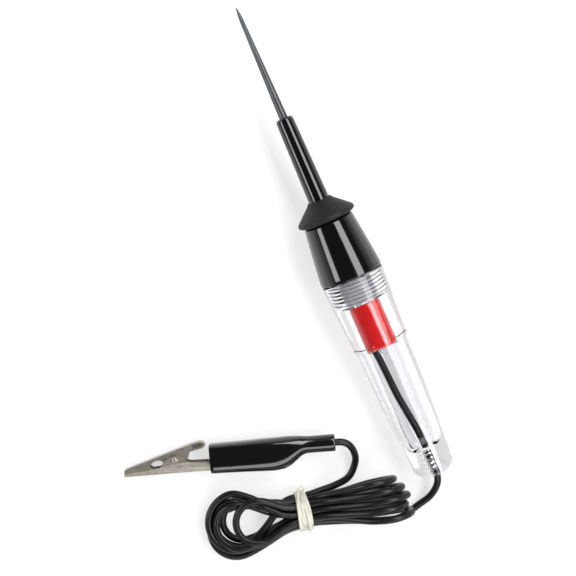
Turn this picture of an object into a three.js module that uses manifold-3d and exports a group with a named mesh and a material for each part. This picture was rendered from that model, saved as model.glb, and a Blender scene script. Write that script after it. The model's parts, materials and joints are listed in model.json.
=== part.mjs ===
// Circuit test light: a probe nose that screws into a clear handle with a lamp inside, and a lead that
// ends in a small spring clip. Millimetres, +Z up, the probe's tip towards +X, lying on its side on z = 0.

import * as THREE from "three";
import { mergeVertices } from "three/addons/utils/BufferGeometryUtils.js";
import Module from "manifold-3d";

const wasm = await Module();
wasm.setup();

// ---------------------------------------------------------------- driving dimensions

const gap = 0.3; // between pieces that touch
const length = 215; // probe tip to the handle's tail

// stations along the tool, measured from the probe's tip
const sleeve_front = 49.3;
const flange_front = 86.6;
const flange_back = 95.6;
const nose_front = flange_back + gap;
const handle_front = 121.7;
const nose_rim = handle_front - gap;
const nose_rest = 121; // the ring of the nose that touches the table
const spigot_end = 133;
const collar_end = 152.8;
const sleeve_stop = 154.2;
const cavity_end = 203;
const tail_rest = 211; // the ring of the tail that touches the table

// radii
const needle_radius = 1.85;
const insulator_radius = 4.5;
const nose_radius = 13.65;
const collar_end_radius = 11.9;
const barrel_radius = 11.25;
const tail_radius = 9.1;
const sleeve_bore = 7.2;
const cavity_radius = 6.5;
const lens_radius = 6.9;
const lens_wall = 0.9;
const lead_radius = 1.55;

// nose thread, 16 turns to the inch
const thread_pitch = 25.4 / 16;
const spigot_radius = 6.75;
const spigot_crest = 7.5;
const thread_root = 7.95;
const thread_crest = 7.2;
const thread_crest_width = 0.33;
const thread_root_width = 1.2;
const nose_thread_back = spigot_end - 1.2;
const handle_thread_back = spigot_end - 0.8;

// lamp
const lamp_offset = -0.6; // the lamp stands beside the lead, off the tool's axis
const glass_radius = 2.3;
const glass_wall = 0.45;
const glass_front = 143.4;
const glass_end = 158.2;

// spring clip, measured from its pivot: x runs back to the lead, y to the thumb lever, z up
const clip_pivot = [-57, 100.7, 4.22];
const clip_heading = -108.4; // degrees
const clip_lift = 3.8; // degrees, the clip's back end is carried by its boot
const clip_half_width = 3.3;
const sheet = 0.6;
const rivet_radius = 0.9;

// the hank of spare lead, around its tie
const tie_place = [-98.5, 58.3];
const hank_heading = 79; // degrees
const tie_half_length = 3.5;

// where the lead lies outside the hank
const lead_to_hank_route = [
  [-107.24, 0, 8.89],
  [-110.6, 0.7, 8.1],
  [-114.1, 3, 6],
  [-117.1, 6.9, 3.6],
  [-118.6, 11.6, 2.1],
];
const lead_to_clip_route = [
  [-68.98, 74.19, 6.14],
  [-70.43, 67.31, 6.61],
  [-70.98, 58.03, 7.2],
  [-73.3, 47.24, 7.93],
  [-75.22, 41.57, 8.33],
  [-77.46, 34.85, 8.8],
  [-78.4, 32.2, 8.75],
  [-80.3, 30.2, 8],
  [-83, 29.2, 6.7],
  [-86.3, 29.1, 4.9],
  [-89.2, 29.8, 3.4],
];

// ---------------------------------------------------------------- materials

const material = (color, roughness, metalness) =>
  new THREE.MeshStandardMaterial({ color, roughness, metalness });

const clear_plastic = () => material(0xe8ecee, 0.08, 0);
const red_plastic = () => material(0xd8202a, 0.25, 0);
const black_gloss = () => material(0x18181a, 0.18, 0);
const black_matt = () => material(0x2c2c2e, 0.6, 0);
const dark_steel = () => material(0x77787a, 0.35, 1);
const nickel = () => material(0xbdb8ae, 0.3, 1);
const brass = () => material(0xc9a24e, 0.35, 1);
const copper = () => material(0xb87344, 0.4, 1);
const spring_steel = () => material(0x9a9c9f, 0.3, 1);
const glass = () => material(0xf4f6f6, 0.05, 0);
const solder = () => material(0xb9bcc0, 0.4, 1);
const vinyl = () => material(0x161617, 0.3, 0);
const lead_jacket = () => material(0x252527, 0.45, 0);
const rubber = () => material(0xe9e5d3, 0.75, 0);

// ---------------------------------------------------------------- building blocks

const radians = THREE.MathUtils.degToRad;

// Keeps only the positions of a geometry, with shared vertices merged and collapsed triangles dropped.
function closed(geometry) {
  for (const name of Object.keys(geometry.attributes)) {
    if (name !== "position") geometry.deleteAttribute(name);
  }
  const merged = mergeVertices(geometry, 1e-4);
  const corners = merged.index.array;
  const kept = [];
  for (let i = 0; i < corners.length; i += 3) {
    const [a, b, c] = [corners[i], corners[i + 1], corners[i + 2]];
    if (a !== b && b !== c && c !== a) kept.push(a, b, c);
  }
  merged.setIndex(kept);
  merged.clearGroups();
  return merged;
}

function solid(geometry) {
  const shape = closed(geometry);
  return new wasm.Manifold(
    new wasm.Mesh({
      numProp: 3,
      vertProperties: new Float32Array(shape.attributes.position.array),
      triVerts: new Uint32Array(shape.index.array),
    }),
  );
}

// The slivers that a join leaves, far finer than any edge of the part, are cleaned away.
function geometry_of(body) {
  const mesh = body.asOriginal().simplify(0.01).getMesh();
  const geometry = new THREE.BufferGeometry();
  geometry.setAttribute("position", new THREE.BufferAttribute(mesh.vertProperties, 3));
  geometry.setIndex(new THREE.BufferAttribute(mesh.triVerts, 1));
  return geometry;
}

// A piece turned about the tool's axis. The profile's points are [distance from the tip, radius], and
// run towards the tail along the outside.
function turned(profile, sides) {
  const points = profile.map(([station, radius]) => new THREE.Vector2(radius, station));
  return new THREE.LatheGeometry(points, sides).rotateZ(Math.PI / 2);
}

// A ring or pipe turned about the tool's axis: its profile closes on itself.
function turned_ring(profile, sides) {
  return turned([...profile, profile[0]], sides);
}

// A closed skin over rings of points, each ring with the same number of points. With looped, the last
// ring joins the first; without it both ends are capped.
function skin(rings, looped) {
  const around = rings[0].length;
  const positions = rings.flat().flatMap((point) => [point.x, point.y, point.z]);
  const corners = [];
  const last = looped ? rings.length : rings.length - 1;
  for (let i = 0; i < last; i += 1) {
    const here = i * around;
    const there = ((i + 1) % rings.length) * around;
    for (let j = 0; j < around; j += 1) {
      const next = (j + 1) % around;
      corners.push(here + j, here + next, there + next);
      corners.push(here + j, there + next, there + j);
    }
  }
  if (!looped) {
    const end = (rings.length - 1) * around;
    for (let j = 1; j < around - 1; j += 1) {
      corners.push(0, j + 1, j);
      corners.push(end, end + j, end + j + 1);
    }
  }
  const geometry = new THREE.BufferGeometry();
  geometry.setAttribute("position", new THREE.Float32BufferAttribute(positions, 3));
  geometry.setIndex(corners);
  return geometry;
}

// A round bar along a curve.
function bar(curve, radius, sides, steps) {
  const corners = Array.from({ length: sides }, (_, i) => {
    const angle = (2 * Math.PI * i) / sides;
    return new THREE.Vector2(radius * Math.cos(angle), radius * Math.sin(angle));
  });
  return new THREE.ExtrudeGeometry(new THREE.Shape(corners), { extrudePath: curve, steps });
}

const smooth = (points) =>
  new THREE.CatmullRomCurve3(points.map((point) => new THREE.Vector3(...point)), false, "centripetal");

// A flat plate with the given outline in x and y, centred on z = 0.
function plate(outline, thickness) {
  const shape = new THREE.Shape(outline.map(([x, y]) => new THREE.Vector2(x, y)));
  const geometry = new THREE.ExtrudeGeometry(shape, { depth: thickness, bevelEnabled: false });
  return geometry.translate(0, 0, -thickness / 2);
}

// A ridge of a right-hand thread about the tool's axis, wound from one station towards the tip. It
// runs from the base radius to the crest radius, and fades in and out over a quarter of a turn.
function thread_ridge(from, to, base, crest, base_width, crest_width, turned_by) {
  const steps_per_turn = 16;
  const steps = Math.round(((from - to) / thread_pitch) * steps_per_turn);
  const rings = [];
  for (let i = 0; i <= steps; i += 1) {
    const angle = (2 * Math.PI * i) / steps_per_turn + turned_by;
    const station = from - (thread_pitch * i) / steps_per_turn;
    const fade = Math.min(1, (i + 1) / 4, (steps - i + 1) / 4);
    const height = base + (crest - base) * fade;
    const half_crest = crest_width / 2;
    const half_base = base_width / 2;
    const section = [
      [station + half_base, base],
      [station + half_crest, height],
      [station - half_crest, height],
      [station - half_base, base],
    ];
    rings.push(
      section.map(
        ([along, radius]) =>
          new THREE.Vector3(-along, -radius * Math.sin(angle), radius * Math.cos(angle)),
      ),
    );
  }
  return skin(crest > base ? rings : rings.map((ring) => [...ring].reverse()), false);
}

function add(group, name, geometry, finish) {
  const mesh = new THREE.Mesh(closed(geometry), finish);
  mesh.name = name;
  group.add(mesh);
  return mesh;
}

// ---------------------------------------------------------------- nose: what screws out of the handle

function probe_needle() {
  const threaded_radius = 1.5;
  return turned(
    [
      [0, 0],
      [0.5, 0.22],
      [4, 0.85],
      [sleeve_front, needle_radius],
      [112.6, needle_radius],
      [112.6, threaded_radius],
      [118, threaded_radius],
      [118.4, 1.1],
      [118.4, 0],
    ],
    24,
  );
}

function probe_insulator() {
  const bore = needle_radius + gap;
  const front_radius = 3.8;
  const edge = 1.3;
  const rounded = [0, 30, 60, 90].map((degrees) => [
    sleeve_front + edge * (1 - Math.sin(radians(degrees))),
    front_radius - edge * (1 - Math.cos(radians(degrees))),
  ]);
  return turned_ring(
    [
      [sleeve_front, bore],
      ...rounded.reverse(),
      [flange_front, insulator_radius],
      [101, insulator_radius],
      [101, bore],
    ],
    32,
  );
}

function nose_flange() {
  const bore = insulator_radius + gap;
  return turned_ring(
    [
      [flange_front, bore],
      [flange_front, bore + 0.5],
      [89.9, 8.6],
      [93.5, 12.4],
      [93.9, 12.6],
      [94.8, 12.6],
      [flange_back, 11.3],
      [flange_back, bore],
    ],
    48,
  );
}

function nose_cone() {
  const spring_room = 5.4;
  const body = turned_ring(
    [
      [nose_front, insulator_radius + gap],
      [nose_front, 10.1],
      [nose_front + 0.8, 10.8],
      [108, 12.3],
      [117, 13.35],
      [119.6, nose_radius - 0.04],
      [nose_rest, nose_radius],
      [nose_rim, nose_radius - 0.35],
      [nose_rim, spigot_radius],
      [spigot_end - 0.5, spigot_radius],
      [spigot_end, spigot_radius - 0.5],
      [spigot_end, spring_room],
      [113, spring_room],
      [113, needle_radius + gap],
      [101.3, needle_radius + gap],
      [101.3, insulator_radius + gap],
    ],
    32,
  );
  const ridge = thread_ridge(
    nose_thread_back,
    handle_front + 2,
    spigot_radius - 0.3,
    spigot_crest,
    thread_root_width + 0.3,
    thread_crest_width,
    0,
  );
  return geometry_of(solid(body).add(solid(ridge)));
}

// The nut and washer that hold the needle in the nose.
function probe_nut() {
  const bore = (1.5 + gap) / Math.cos(Math.PI / 6);
  const across_corners = 3.6;
  return turned_ring(
    [
      [114.2, bore],
      [114.2, across_corners],
      [117, across_corners],
      [117, bore],
    ],
    6,
  );
}

function probe_washer() {
  return turned_ring(
    [
      [113.3, 1.5 + gap],
      [113.3, 4.6],
      [113.9, 4.6],
      [113.9, 1.5 + gap],
    ],
    24,
  );
}

// ---------------------------------------------------------------- spring contact, which follows the nose

function contact_spring() {
  const from = 117.75;
  const to = 133.1;
  const turns = 6.5;
  const coil_radius = 3.2;
  const wire_radius = 0.42;
  const steps_per_turn = 14;
  const points = [];
  for (let i = 0; i <= turns * steps_per_turn; i += 1) {
    const angle = (2 * Math.PI * i) / steps_per_turn;
    const station = from + ((to - from) * i) / (turns * steps_per_turn);
    points.push([-station, coil_radius * Math.cos(angle), coil_radius * Math.sin(angle)]);
  }
  return bar(smooth(points), wire_radius, 5, turns * steps_per_turn);
}

function contact_button() {
  return turned(
    [
      [133.85, 0],
      [133.85, 4.6],
      [134.45, 4.6],
      [134.45, 2.4],
      [134.8, 1.6],
      [134.8, 0],
    ],
    24,
  );
}

// ---------------------------------------------------------------- handle and lamp

// The tail's bore has three rings that grip the lead, listed from the tail's end forward.
function tail_bore_rings() {
  const bore = lead_radius + gap;
  const rings = [];
  for (let i = 2; i >= 0; i -= 1) {
    const ring_front = cavity_end + 2 + 3 * i;
    rings.push(
      [ring_front + 1, bore],
      [ring_front + 0.7, bore + 0.8],
      [ring_front + 0.3, bore + 0.8],
      [ring_front, bore],
    );
  }
  return rings;
}

function clear_handle() {
  const bore = lead_radius + gap;
  const tail_edge = 4;
  const rounded = [30, 60, 90].map((degrees) => [
    length - tail_edge * (1 - Math.sin(radians(degrees))),
    tail_radius - tail_edge * (1 - Math.cos(radians(degrees))),
  ]);
  const outside = [
    [handle_front, sleeve_bore + 1],
    [handle_front, 13.2],
    [handle_front + 0.4, 13.58],
    [collar_end, collar_end_radius],
    [collar_end + 0.3, barrel_radius],
    [166, 11],
    [179, 10.7],
    [190, 10.1],
    [201, 9.45],
    [tail_rest, tail_radius],
    ...rounded,
  ];
  const inside = [
    [length, bore + 0.7],
    [length - 1, bore],
    ...tail_bore_rings(),
    [cavity_end, bore],
    [cavity_end, cavity_radius - 1.5],
    [cavity_end - 2, cavity_radius - 0.5],
    [sleeve_stop, cavity_radius],
    [sleeve_stop, sleeve_bore],
    [spigot_end + 0.3, sleeve_bore],
    [spigot_end - 0.45, thread_root],
    [handle_front + 0.3, thread_root],
  ];
  const body = turned_ring([...outside, ...inside], 32);
  const ridge = thread_ridge(
    handle_thread_back,
    handle_front + 0.9,
    thread_root + 0.3,
    thread_crest,
    thread_root_width + 0.3,
    thread_crest_width,
    Math.PI + thread_phase(),
  );
  return geometry_of(solid(body).add(solid(ridge)));
}

// How far the handle's ridge is turned so that its winding runs midway between those of the nose.
function thread_phase() {
  return (-2 * Math.PI * (handle_thread_back - nose_thread_back)) / thread_pitch;
}

function lens_sleeve() {
  const front = spigot_end + 0.6;
  const back = sleeve_stop - gap;
  return turned_ring(
    [
      [front, lens_radius - lens_wall],
      [front, lens_radius],
      [back, lens_radius],
      [back, lens_radius - lens_wall],
    ],
    40,
  );
}

function lamp_socket() {
  const inside = 3.75;
  const outside = 4.35;
  const barrel = turned_ring(
    [
      [136.3, inside],
      [136.3, 5.1],
      [136.9, 5.1],
      [136.9, outside],
      [144.2, outside],
      [144.2, glass_radius + gap],
      [143.7, glass_radius + gap],
      [143.7, inside],
    ],
    28,
  );
  const lug = new THREE.BoxGeometry(5, 0.6, 2.4).translate(-145.6, 4.05, 0);
  return geometry_of(solid(barrel).add(solid(lug))).translate(0, lamp_offset, 0);
}

function bulb_base() {
  return turned_ring(
    [
      [136.4, 1.9],
      [136.4, 3.1],
      [136.9, 3.45],
      [142.9, 3.45],
      [142.9, 1.9],
    ],
    28,
  ).translate(0, lamp_offset, 0);
}

function bulb_contact() {
  return turned(
    [
      [135.1, 0],
      [135.3, 1],
      [135.9, 1.5],
      [138.5, 1.5],
      [138.5, 0],
    ],
    20,
  ).translate(0, lamp_offset, 0);
}

function bulb_glass() {
  const dome = [0, 22.5, 45, 67.5, 90];
  const outside = dome.map((degrees) => [
    glass_end - glass_radius * (1 - Math.sin(radians(degrees))),
    glass_radius * Math.cos(radians(degrees)),
  ]);
  const bore = glass_radius - glass_wall;
  const inside = dome.map((degrees) => [
    glass_end - glass_wall - bore * (1 - Math.sin(radians(degrees))),
    bore * Math.cos(radians(degrees)),
  ]);
  return turned(
    [...inside.reverse(), [glass_front, bore], [glass_front, glass_radius], ...outside],
    24,
  ).translate(0, lamp_offset, 0);
}

function bulb_filament() {
  const reach = 0.95;
  return bar(
    smooth([
      [-139.5, lamp_offset, -0.8],
      [-144, lamp_offset, -0.85],
      [-149.6, lamp_offset, -reach],
      [-151, lamp_offset, -0.5],
      [-151.3, lamp_offset, 0],
      [-151, lamp_offset, 0.5],
      [-149.6, lamp_offset, reach],
      [-144, lamp_offset, 0.85],
      [-139.5, lamp_offset, 0.8],
    ]),
    0.2,
    5,
    28,
  );
}

function lead_solder() {
  return new THREE.SphereGeometry(1, 12, 8).scale(1.3, 0.62, 1.2).translate(-146.7, 4.7, 0);
}

// The bare strands run from the solder to the jacket's end.
function lead_strands() {
  return bar(smooth([[-148.5, 4.35, 0], [-149.5, 4.2, 0], [-150.4, 4.1, 0]]), 0.6, 8, 3);
}

function inner_lead() {
  return bar(
    smooth([
      [-150.8, 4.08, 0],
      [-154, 3.75, 0],
      [-160, 3.15, 0],
      [-168, 2.75, 0],
      [-176, 2.35, 0],
      [-184, 1.45, 0],
      [-191, 0.6, 0],
      [-197, 0.12, 0],
      [-202, 0, 0],
      [-214.2, 0, 0],
    ]),
    lead_radius,
    8,
    26,
  );
}

// ---------------------------------------------------------------- spring clip

// The width of the clip at a distance from its pivot: it narrows to its jaws and into its boot.
function clip_width_factor(x) {
  if (x < -4) return THREE.MathUtils.lerp(1, 0.67, (-4 - x) / 18.3);
  if (x > 6) return THREE.MathUtils.lerp(1, 0.85, Math.min(1, (x - 6) / 7));
  return 1;
}

function narrowed(geometry) {
  const points = geometry.attributes.position;
  for (let i = 0; i < points.count; i += 1) {
    points.setZ(i, points.getZ(i) * clip_width_factor(points.getX(i)));
  }
  return geometry;
}

// Saw teeth between two points of a jaw's mouth.
function teeth(from, to, count, depth) {
  const points = [];
  for (let i = 0; i < count; i += 1) {
    const at = (share) => [
      THREE.MathUtils.lerp(from[0], to[0], share),
      THREE.MathUtils.lerp(from[1], to[1], share),
    ];
    const root = at((i + 0.5) / count);
    points.push(at(i / count), [root[0], root[1] + depth]);
  }
  return points;
}

// A jaw pressed from sheet: its outline at full width, less the room between its cheeks.
function folded(outline, room, half_width) {
  const hole = new THREE.CylinderGeometry(
    rivet_radius + gap,
    rivet_radius + gap,
    4 * half_width,
    16,
  ).rotateX(Math.PI / 2);
  return geometry_of(
    solid(plate(outline, 2 * half_width))
      .subtract(solid(plate(room, 2 * (half_width - sheet))))
      .subtract(solid(hole)),
  );
}

function clip_lower_jaw() {
  const mouth = teeth([-22.2, -4.5], [-11, -3.1], 7, -0.55).reverse();
  const ear = [
    [5.3, -1.4],
    [3.8, 0.5],
    [1.9, 1.55],
    [0, 1.85],
    [-1.9, 1.55],
    [-3.8, 0.4],
    [-5.8, -1.6],
    [-8.4, -3],
  ];
  const outline = [
    [-22.3, -5.5],
    [-21.9, -5.9],
    [13, -5.9],
    [13.4, -5.7],
    [30, -5.7],
    [30, -2.3],
    [23, -1.95],
    ...ear,
    ...mouth,
  ];
  const room = [
    [-21.4, -5.3],
    [12.9, -5.3],
    [13.3, -5.1],
    [31, -5.1],
    [31, 3],
    [-9, 3],
    [-21.4, -2],
  ];
  return narrowed(folded(outline, room, clip_half_width));
}

function clip_upper_jaw() {
  const mouth = teeth([-22.1, -4.15], [-11, -2.75], 7, 0.5);
  const outline = [
    ...mouth,
    [-10.4, -2.5],
    [-8.9, -0.9],
    [-7.2, 0.1],
    [-5.2, -0.9],
    [-2.4, -1.6],
    [0, -1.95],
    [2.4, -1.5],
    [5.2, -0.7],
    [6.6, 3],
    [12.9, 4.4],
    [13.6, 5.2],
    [13.2, 6.3],
    [11.3, 7.15],
    [6.2, 5.85],
    [-20.3, -2.15],
    [-22, -2.9],
  ];
  const room = [
    [-21.2, -3.1],
    [-21.2, -8],
    [9, -8],
    [15, 4],
    [13, 5.4],
    [11.3, 6.5],
    [6.3, 5.2],
    [-20, -2.8],
  ];
  return narrowed(folded(outline, room.reverse(), clip_half_width - sheet - gap));
}

function clip_rivet() {
  const head = 1.5;
  const out = clip_half_width + gap;
  const points = [
    [0, -out - 0.4],
    [head - 0.4, -out - 0.4],
    [head, -out - 0.1],
    [head, -out],
    [rivet_radius, -out],
    [rivet_radius, out],
    [head, out],
    [head, out + 0.1],
    [head - 0.4, out + 0.4],
    [0, out + 0.4],
  ].map(([radius, height]) => new THREE.Vector2(radius, height));
  return new THREE.LatheGeometry(points, 20).rotateX(Math.PI / 2);
}

// Half of the clip's coil spring with its leg: turns about the rivet and then a straight leg.
function spring_half(turns, from_angle, from_height, to_height, leg) {
  const coil_radius = 2.45;
  const steps = Math.round(turns * 14);
  const points = [];
  for (let i = 0; i <= steps; i += 1) {
    const angle = from_angle + ((2 * Math.PI * turns) / steps) * i;
    const height = THREE.MathUtils.lerp(from_height, to_height, i / steps);
    points.push([coil_radius * Math.cos(angle), coil_radius * Math.sin(angle), height]);
  }
  return bar(smooth([...points, ...leg]), 0.3, 5, steps + 6);
}

function clip_spring_lower() {
  return spring_half(1.5, Math.PI / 2, -0.25, -1.2, [
    [3.4, -3.4, -1.2],
    [8, -4.6, -1],
    [11.5, -4.8, -0.8],
  ]);
}

function clip_spring_upper() {
  const half = spring_half(1.5, Math.PI / 2, -0.25, -1.2, [
    [3.6, -3.2, -1.2],
    [7.5, -4.5, -1],
    [10.6, -5.5, -0.8],
  ]);
  return half.rotateX(Math.PI);
}

function clip_strands() {
  return bar(smooth([[14, -4.1, 0], [20, -3.9, 0], [28.6, -3.1, 0]]), 0.65, 8, 8);
}

// The boot is a soft shell over the clip's back end that necks down on to the lead.
function clip_boot() {
  const wall = 0.8;
  const neck_bore = lead_radius + gap;
  // distance from the pivot, middle in y, half height in y, half height in z, squareness
  const stations = [
    [15.1, -1.03, 6.35, 5.15, 3.4],
    [16.2, -1.05, 6.5, 5.3, 3.4],
    [30, -1.2, 6.8, 5.5, 3.2],
    [42, -1.38, 7.1, 5.6, 2.8],
    [47, -1.1, 6.9, 5.5, 2.5],
    [51, -0.1, 5.9, 5.1, 2.3],
    [54, 1.1, 4.65, 4.5, 2.1],
    [57, 1.4, 3.75, 3.75, 2],
    [68.4, 1.37, 3.75, 3.75, 2],
    [69.1, 1.37, 3.4, 3.4, 2],
  ];
  const around = 28;
  const ring = ([x, middle, half_y, half_z, squareness], inset) =>
    Array.from({ length: around }, (_, i) => {
      const angle = (2 * Math.PI * i) / around;
      const bend = (value) => Math.sign(value) * Math.abs(value) ** (2 / squareness);
      return new THREE.Vector3(
        x,
        middle + Math.max(half_y - inset, neck_bore) * bend(Math.cos(angle)),
        Math.max(half_z - inset, neck_bore) * bend(Math.sin(angle)),
      );
    });
  const outside = stations.map((station) => ring(station, 0));
  const hollow = stations.filter(([x]) => x < 52).map((station) => ring(station, wall));
  const bore = [56, 69.1].map((x) => ring([x, 1.37, neck_bore, neck_bore, 2], 0));
  return skin([...outside, ...[...hollow, ...bore].reverse()], true);
}

// ---------------------------------------------------------------- the hank of spare lead and its tie

// The hank's outline: along the hank and across it, from its tie. The lobe of loose loops is at +x.
const waist_half_width = 7.4;
const hank_outline = [
  [-47.8, 10],
  [-47.4, 1.5],
  [-43.6, -7.4],
  [-36, -9.4],
  [-24, -9.4],
  [-10, -8.6],
  [-4.5, -waist_half_width],
  [4.5, -waist_half_width],
  [12, -12.6],
  [23, -16.3],
  [33, -15.6],
  [41, -9.5],
  [43.3, 0],
  [41, 9.5],
  [34, 15.3],
  [24, 15.4],
  [13, 11.8],
  [4.5, waist_half_width],
  [-4.5, waist_half_width],
  [-14, 8.4],
  [-26, 10.4],
  [-38, 12.4],
  [-45, 13],
];
const hank_height = 21;
const loose_loops_height = 12.5;
const waist_bottom = 1.4;
const waist_top = 9.4;

function lead_hank() {
  const body = plate(hank_outline, hank_height).translate(0, 0, hank_height / 2);
  const cut = (from, to, low, high) =>
    solid(
      new THREE.BoxGeometry(to - from, 60, high - low).translate(
        (from + to) / 2,
        0,
        (low + high) / 2,
      ),
    );
  const waist = 4.5;
  return geometry_of(
    solid(body)
      .subtract(cut(waist, 60, loose_loops_height, 40))
      .subtract(cut(-waist, waist + 0.1, waist_top, 40))
      .subtract(cut(-waist, waist, -5, waist_bottom)),
  );
}

function hank_band() {
  const thickness = 0.8;
  const slack = 0.6;
  const inside = {
    half: waist_half_width + slack,
    low: waist_bottom - slack,
    high: waist_top + slack,
  };
  const corner = 1.2;
  const rounded = (spread) => {
    const points = [];
    const middles = [
      [inside.half - corner, inside.high - corner, 0],
      [corner - inside.half, inside.high - corner, 90],
      [corner - inside.half, inside.low + corner, 180],
      [inside.half - corner, inside.low + corner, 270],
    ];
    for (const [y, z, start] of middles) {
      for (const turn of [0, 30, 60, 90]) {
        const angle = radians(start + turn);
        const reach = corner + spread;
        points.push([y + reach * Math.cos(angle), z + reach * Math.sin(angle)]);
      }
    }
    return points.map(([y, z]) => new THREE.Vector2(y, z));
  };
  const shape = new THREE.Shape(rounded(thickness));
  shape.holes.push(new THREE.Path(rounded(0)));
  const depth = 2 * tie_half_length;
  const ring = new THREE.ExtrudeGeometry(shape, { depth, bevelEnabled: false });
  // the section's x and y become the hank's y and z, and its depth runs along the hank
  return ring
    .translate(0, 0, -tie_half_length)
    .rotateX(Math.PI / 2)
    .rotateZ(Math.PI / 2);
}

// ---------------------------------------------------------------- assembly

const part = new THREE.Group();

// The tool lies on the rings of its nose and its tail, so its tip points slightly up.
const rest_tilt = Math.atan2(nose_radius - tail_radius, tail_rest - nose_rest);
const tool = new THREE.Group();
tool.rotation.y = -rest_tilt;
part.add(tool);

add(tool, "probe_needle", probe_needle(), dark_steel());
add(tool, "probe_insulator", probe_insulator(), black_gloss());
add(tool, "nose_flange", nose_flange(), black_matt());
add(tool, "nose_cone", nose_cone(), black_gloss());
add(tool, "probe_washer", probe_washer(), brass());
add(tool, "probe_nut", probe_nut(), nickel());
add(tool, "contact_spring", contact_spring(), spring_steel());
add(tool, "contact_button", contact_button(), brass());
add(tool, "clear_handle", clear_handle(), clear_plastic());
add(tool, "lens_sleeve", lens_sleeve(), red_plastic());
add(tool, "lamp_socket", lamp_socket(), brass());
add(tool, "bulb_base", bulb_base(), nickel());
add(tool, "bulb_contact", bulb_contact(), solder());
add(tool, "bulb_glass", bulb_glass(), glass());
add(tool, "bulb_filament", bulb_filament(), spring_steel());
add(tool, "lead_solder", lead_solder(), solder());
add(tool, "lead_strands", lead_strands(), copper());
add(tool, "inner_lead", inner_lead(), lead_jacket());

tool.updateMatrixWorld(true);
const extent = new THREE.Box3().setFromObject(tool, true);
tool.position.x = -(extent.min.x + extent.max.x) / 2;
tool.position.z = -extent.min.z;

add(part, "lead_to_hank", bar(smooth(lead_to_hank_route), lead_radius, 8, 5), lead_jacket());
add(part, "lead_to_clip", bar(smooth(lead_to_clip_route), lead_radius, 8, 24), lead_jacket());

const hank = new THREE.Group();
hank.position.set(...tie_place, 0);
hank.rotation.z = radians(hank_heading);
part.add(hank);
add(hank, "lead_hank", lead_hank(), lead_jacket());
add(hank, "hank_band", hank_band(), rubber());

const clip = new THREE.Group();
clip.position.set(...clip_pivot);
clip.rotation.order = "ZYX";
clip.rotation.z = radians(clip_heading);
clip.rotation.y = -radians(clip_lift);
part.add(clip);
add(clip, "clip_lower_jaw", clip_lower_jaw(), nickel());
add(clip, "clip_upper_jaw", clip_upper_jaw(), nickel());
add(clip, "clip_rivet", clip_rivet(), nickel());
add(clip, "clip_spring_lower", clip_spring_lower(), spring_steel());
add(clip, "clip_spring_upper", clip_spring_upper(), spring_steel());
add(clip, "clip_strands", clip_strands(), copper());
add(clip, "clip_boot", clip_boot(), vinyl());

export default part;
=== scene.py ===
"""Circuit test light: a probe nose screwed into a clear handle with a lamp, and a clip lead in a hank."""

import json
import math

import bmesh
import bpy
import numpy as np
from bpy.props import FloatProperty, FloatVectorProperty, IntProperty, PointerProperty
from mathutils import Matrix, Vector

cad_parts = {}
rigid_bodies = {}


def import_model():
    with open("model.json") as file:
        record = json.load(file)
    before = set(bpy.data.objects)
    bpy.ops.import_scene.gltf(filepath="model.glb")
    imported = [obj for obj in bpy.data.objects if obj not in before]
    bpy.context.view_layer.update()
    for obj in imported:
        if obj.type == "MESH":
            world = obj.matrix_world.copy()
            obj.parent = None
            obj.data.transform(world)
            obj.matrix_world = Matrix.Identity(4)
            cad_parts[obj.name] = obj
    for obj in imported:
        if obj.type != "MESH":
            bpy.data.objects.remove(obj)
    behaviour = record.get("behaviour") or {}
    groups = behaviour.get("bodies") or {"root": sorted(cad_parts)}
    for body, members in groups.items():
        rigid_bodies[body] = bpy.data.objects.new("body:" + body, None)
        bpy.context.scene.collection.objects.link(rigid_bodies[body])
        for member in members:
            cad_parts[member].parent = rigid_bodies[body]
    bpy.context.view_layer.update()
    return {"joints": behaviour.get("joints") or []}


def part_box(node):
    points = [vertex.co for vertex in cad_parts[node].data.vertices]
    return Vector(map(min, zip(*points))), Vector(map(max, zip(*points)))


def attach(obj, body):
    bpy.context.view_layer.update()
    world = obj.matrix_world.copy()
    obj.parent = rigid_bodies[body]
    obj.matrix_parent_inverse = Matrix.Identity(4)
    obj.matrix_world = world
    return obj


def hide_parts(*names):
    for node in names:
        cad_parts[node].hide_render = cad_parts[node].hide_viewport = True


bl_info = {
    "name": "Circuit test light",
    "version": (1, 0, 0),
    "blender": (4, 5, 0),
    "location": "View3D > Sidebar > Test light",
    "description": "Builds a circuit test light with its lead, tie and spring clip",
    "category": "Object",
}

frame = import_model()
JOINTS = {joint["name"]: joint for joint in frame["joints"]}

MM = 0.001

# Stations along the tool, in mm from the probe's tip, and radii about its axis.
SLEEVE_FRONT = 49.3
FLANGE_FRONT = 86.6
FLANGE_BACK = 95.6
NOSE_FRONT = 95.9
NOSE_RIM = 121.4
HANDLE_FRONT = 121.7
SPIGOT_END = 133.0
COLLAR_END = 152.8
SLEEVE_STOP = 154.2
CAVITY_END = 203.0
TOOL_LENGTH = 215.0
NEEDLE_RADIUS = 1.85
INSULATOR_RADIUS = 4.5
NOSE_RADIUS = 13.65
SPIGOT_RADIUS = 6.75
SPIGOT_CREST = 7.2
SPIGOT_BORE = 5.4
THREAD_ROOT = 7.95
THREAD_CREST = 7.68
THREAD_PITCH = 25.4 / 16
THREAD_START = 131.8
BARREL_RADIUS = 11.25
CAVITY_RADIUS = 6.5
SLEEVE_BORE = 7.2
SLEEVE_RADIUS = 6.9
LEAD_BORE = 1.85
GRIP_FRONT = 204.4  # the grooves in the tail's bore that hold the lead
GRIP_COUNT = 4
GRIP_PITCH = 1.95
GRIP_WIDTH = 0.7
GRIP_DEPTH = 0.6
LAMP_OFFSET = -0.6
LAMP_RADIUS = 2.3

# The clip, in mm from its pivot: x back to the lead, y to the thumb lever, z up.
CLIP_HALF_WIDTH = 3.3
SHEET = 0.6
RIVET_RADIUS = 0.9

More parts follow.
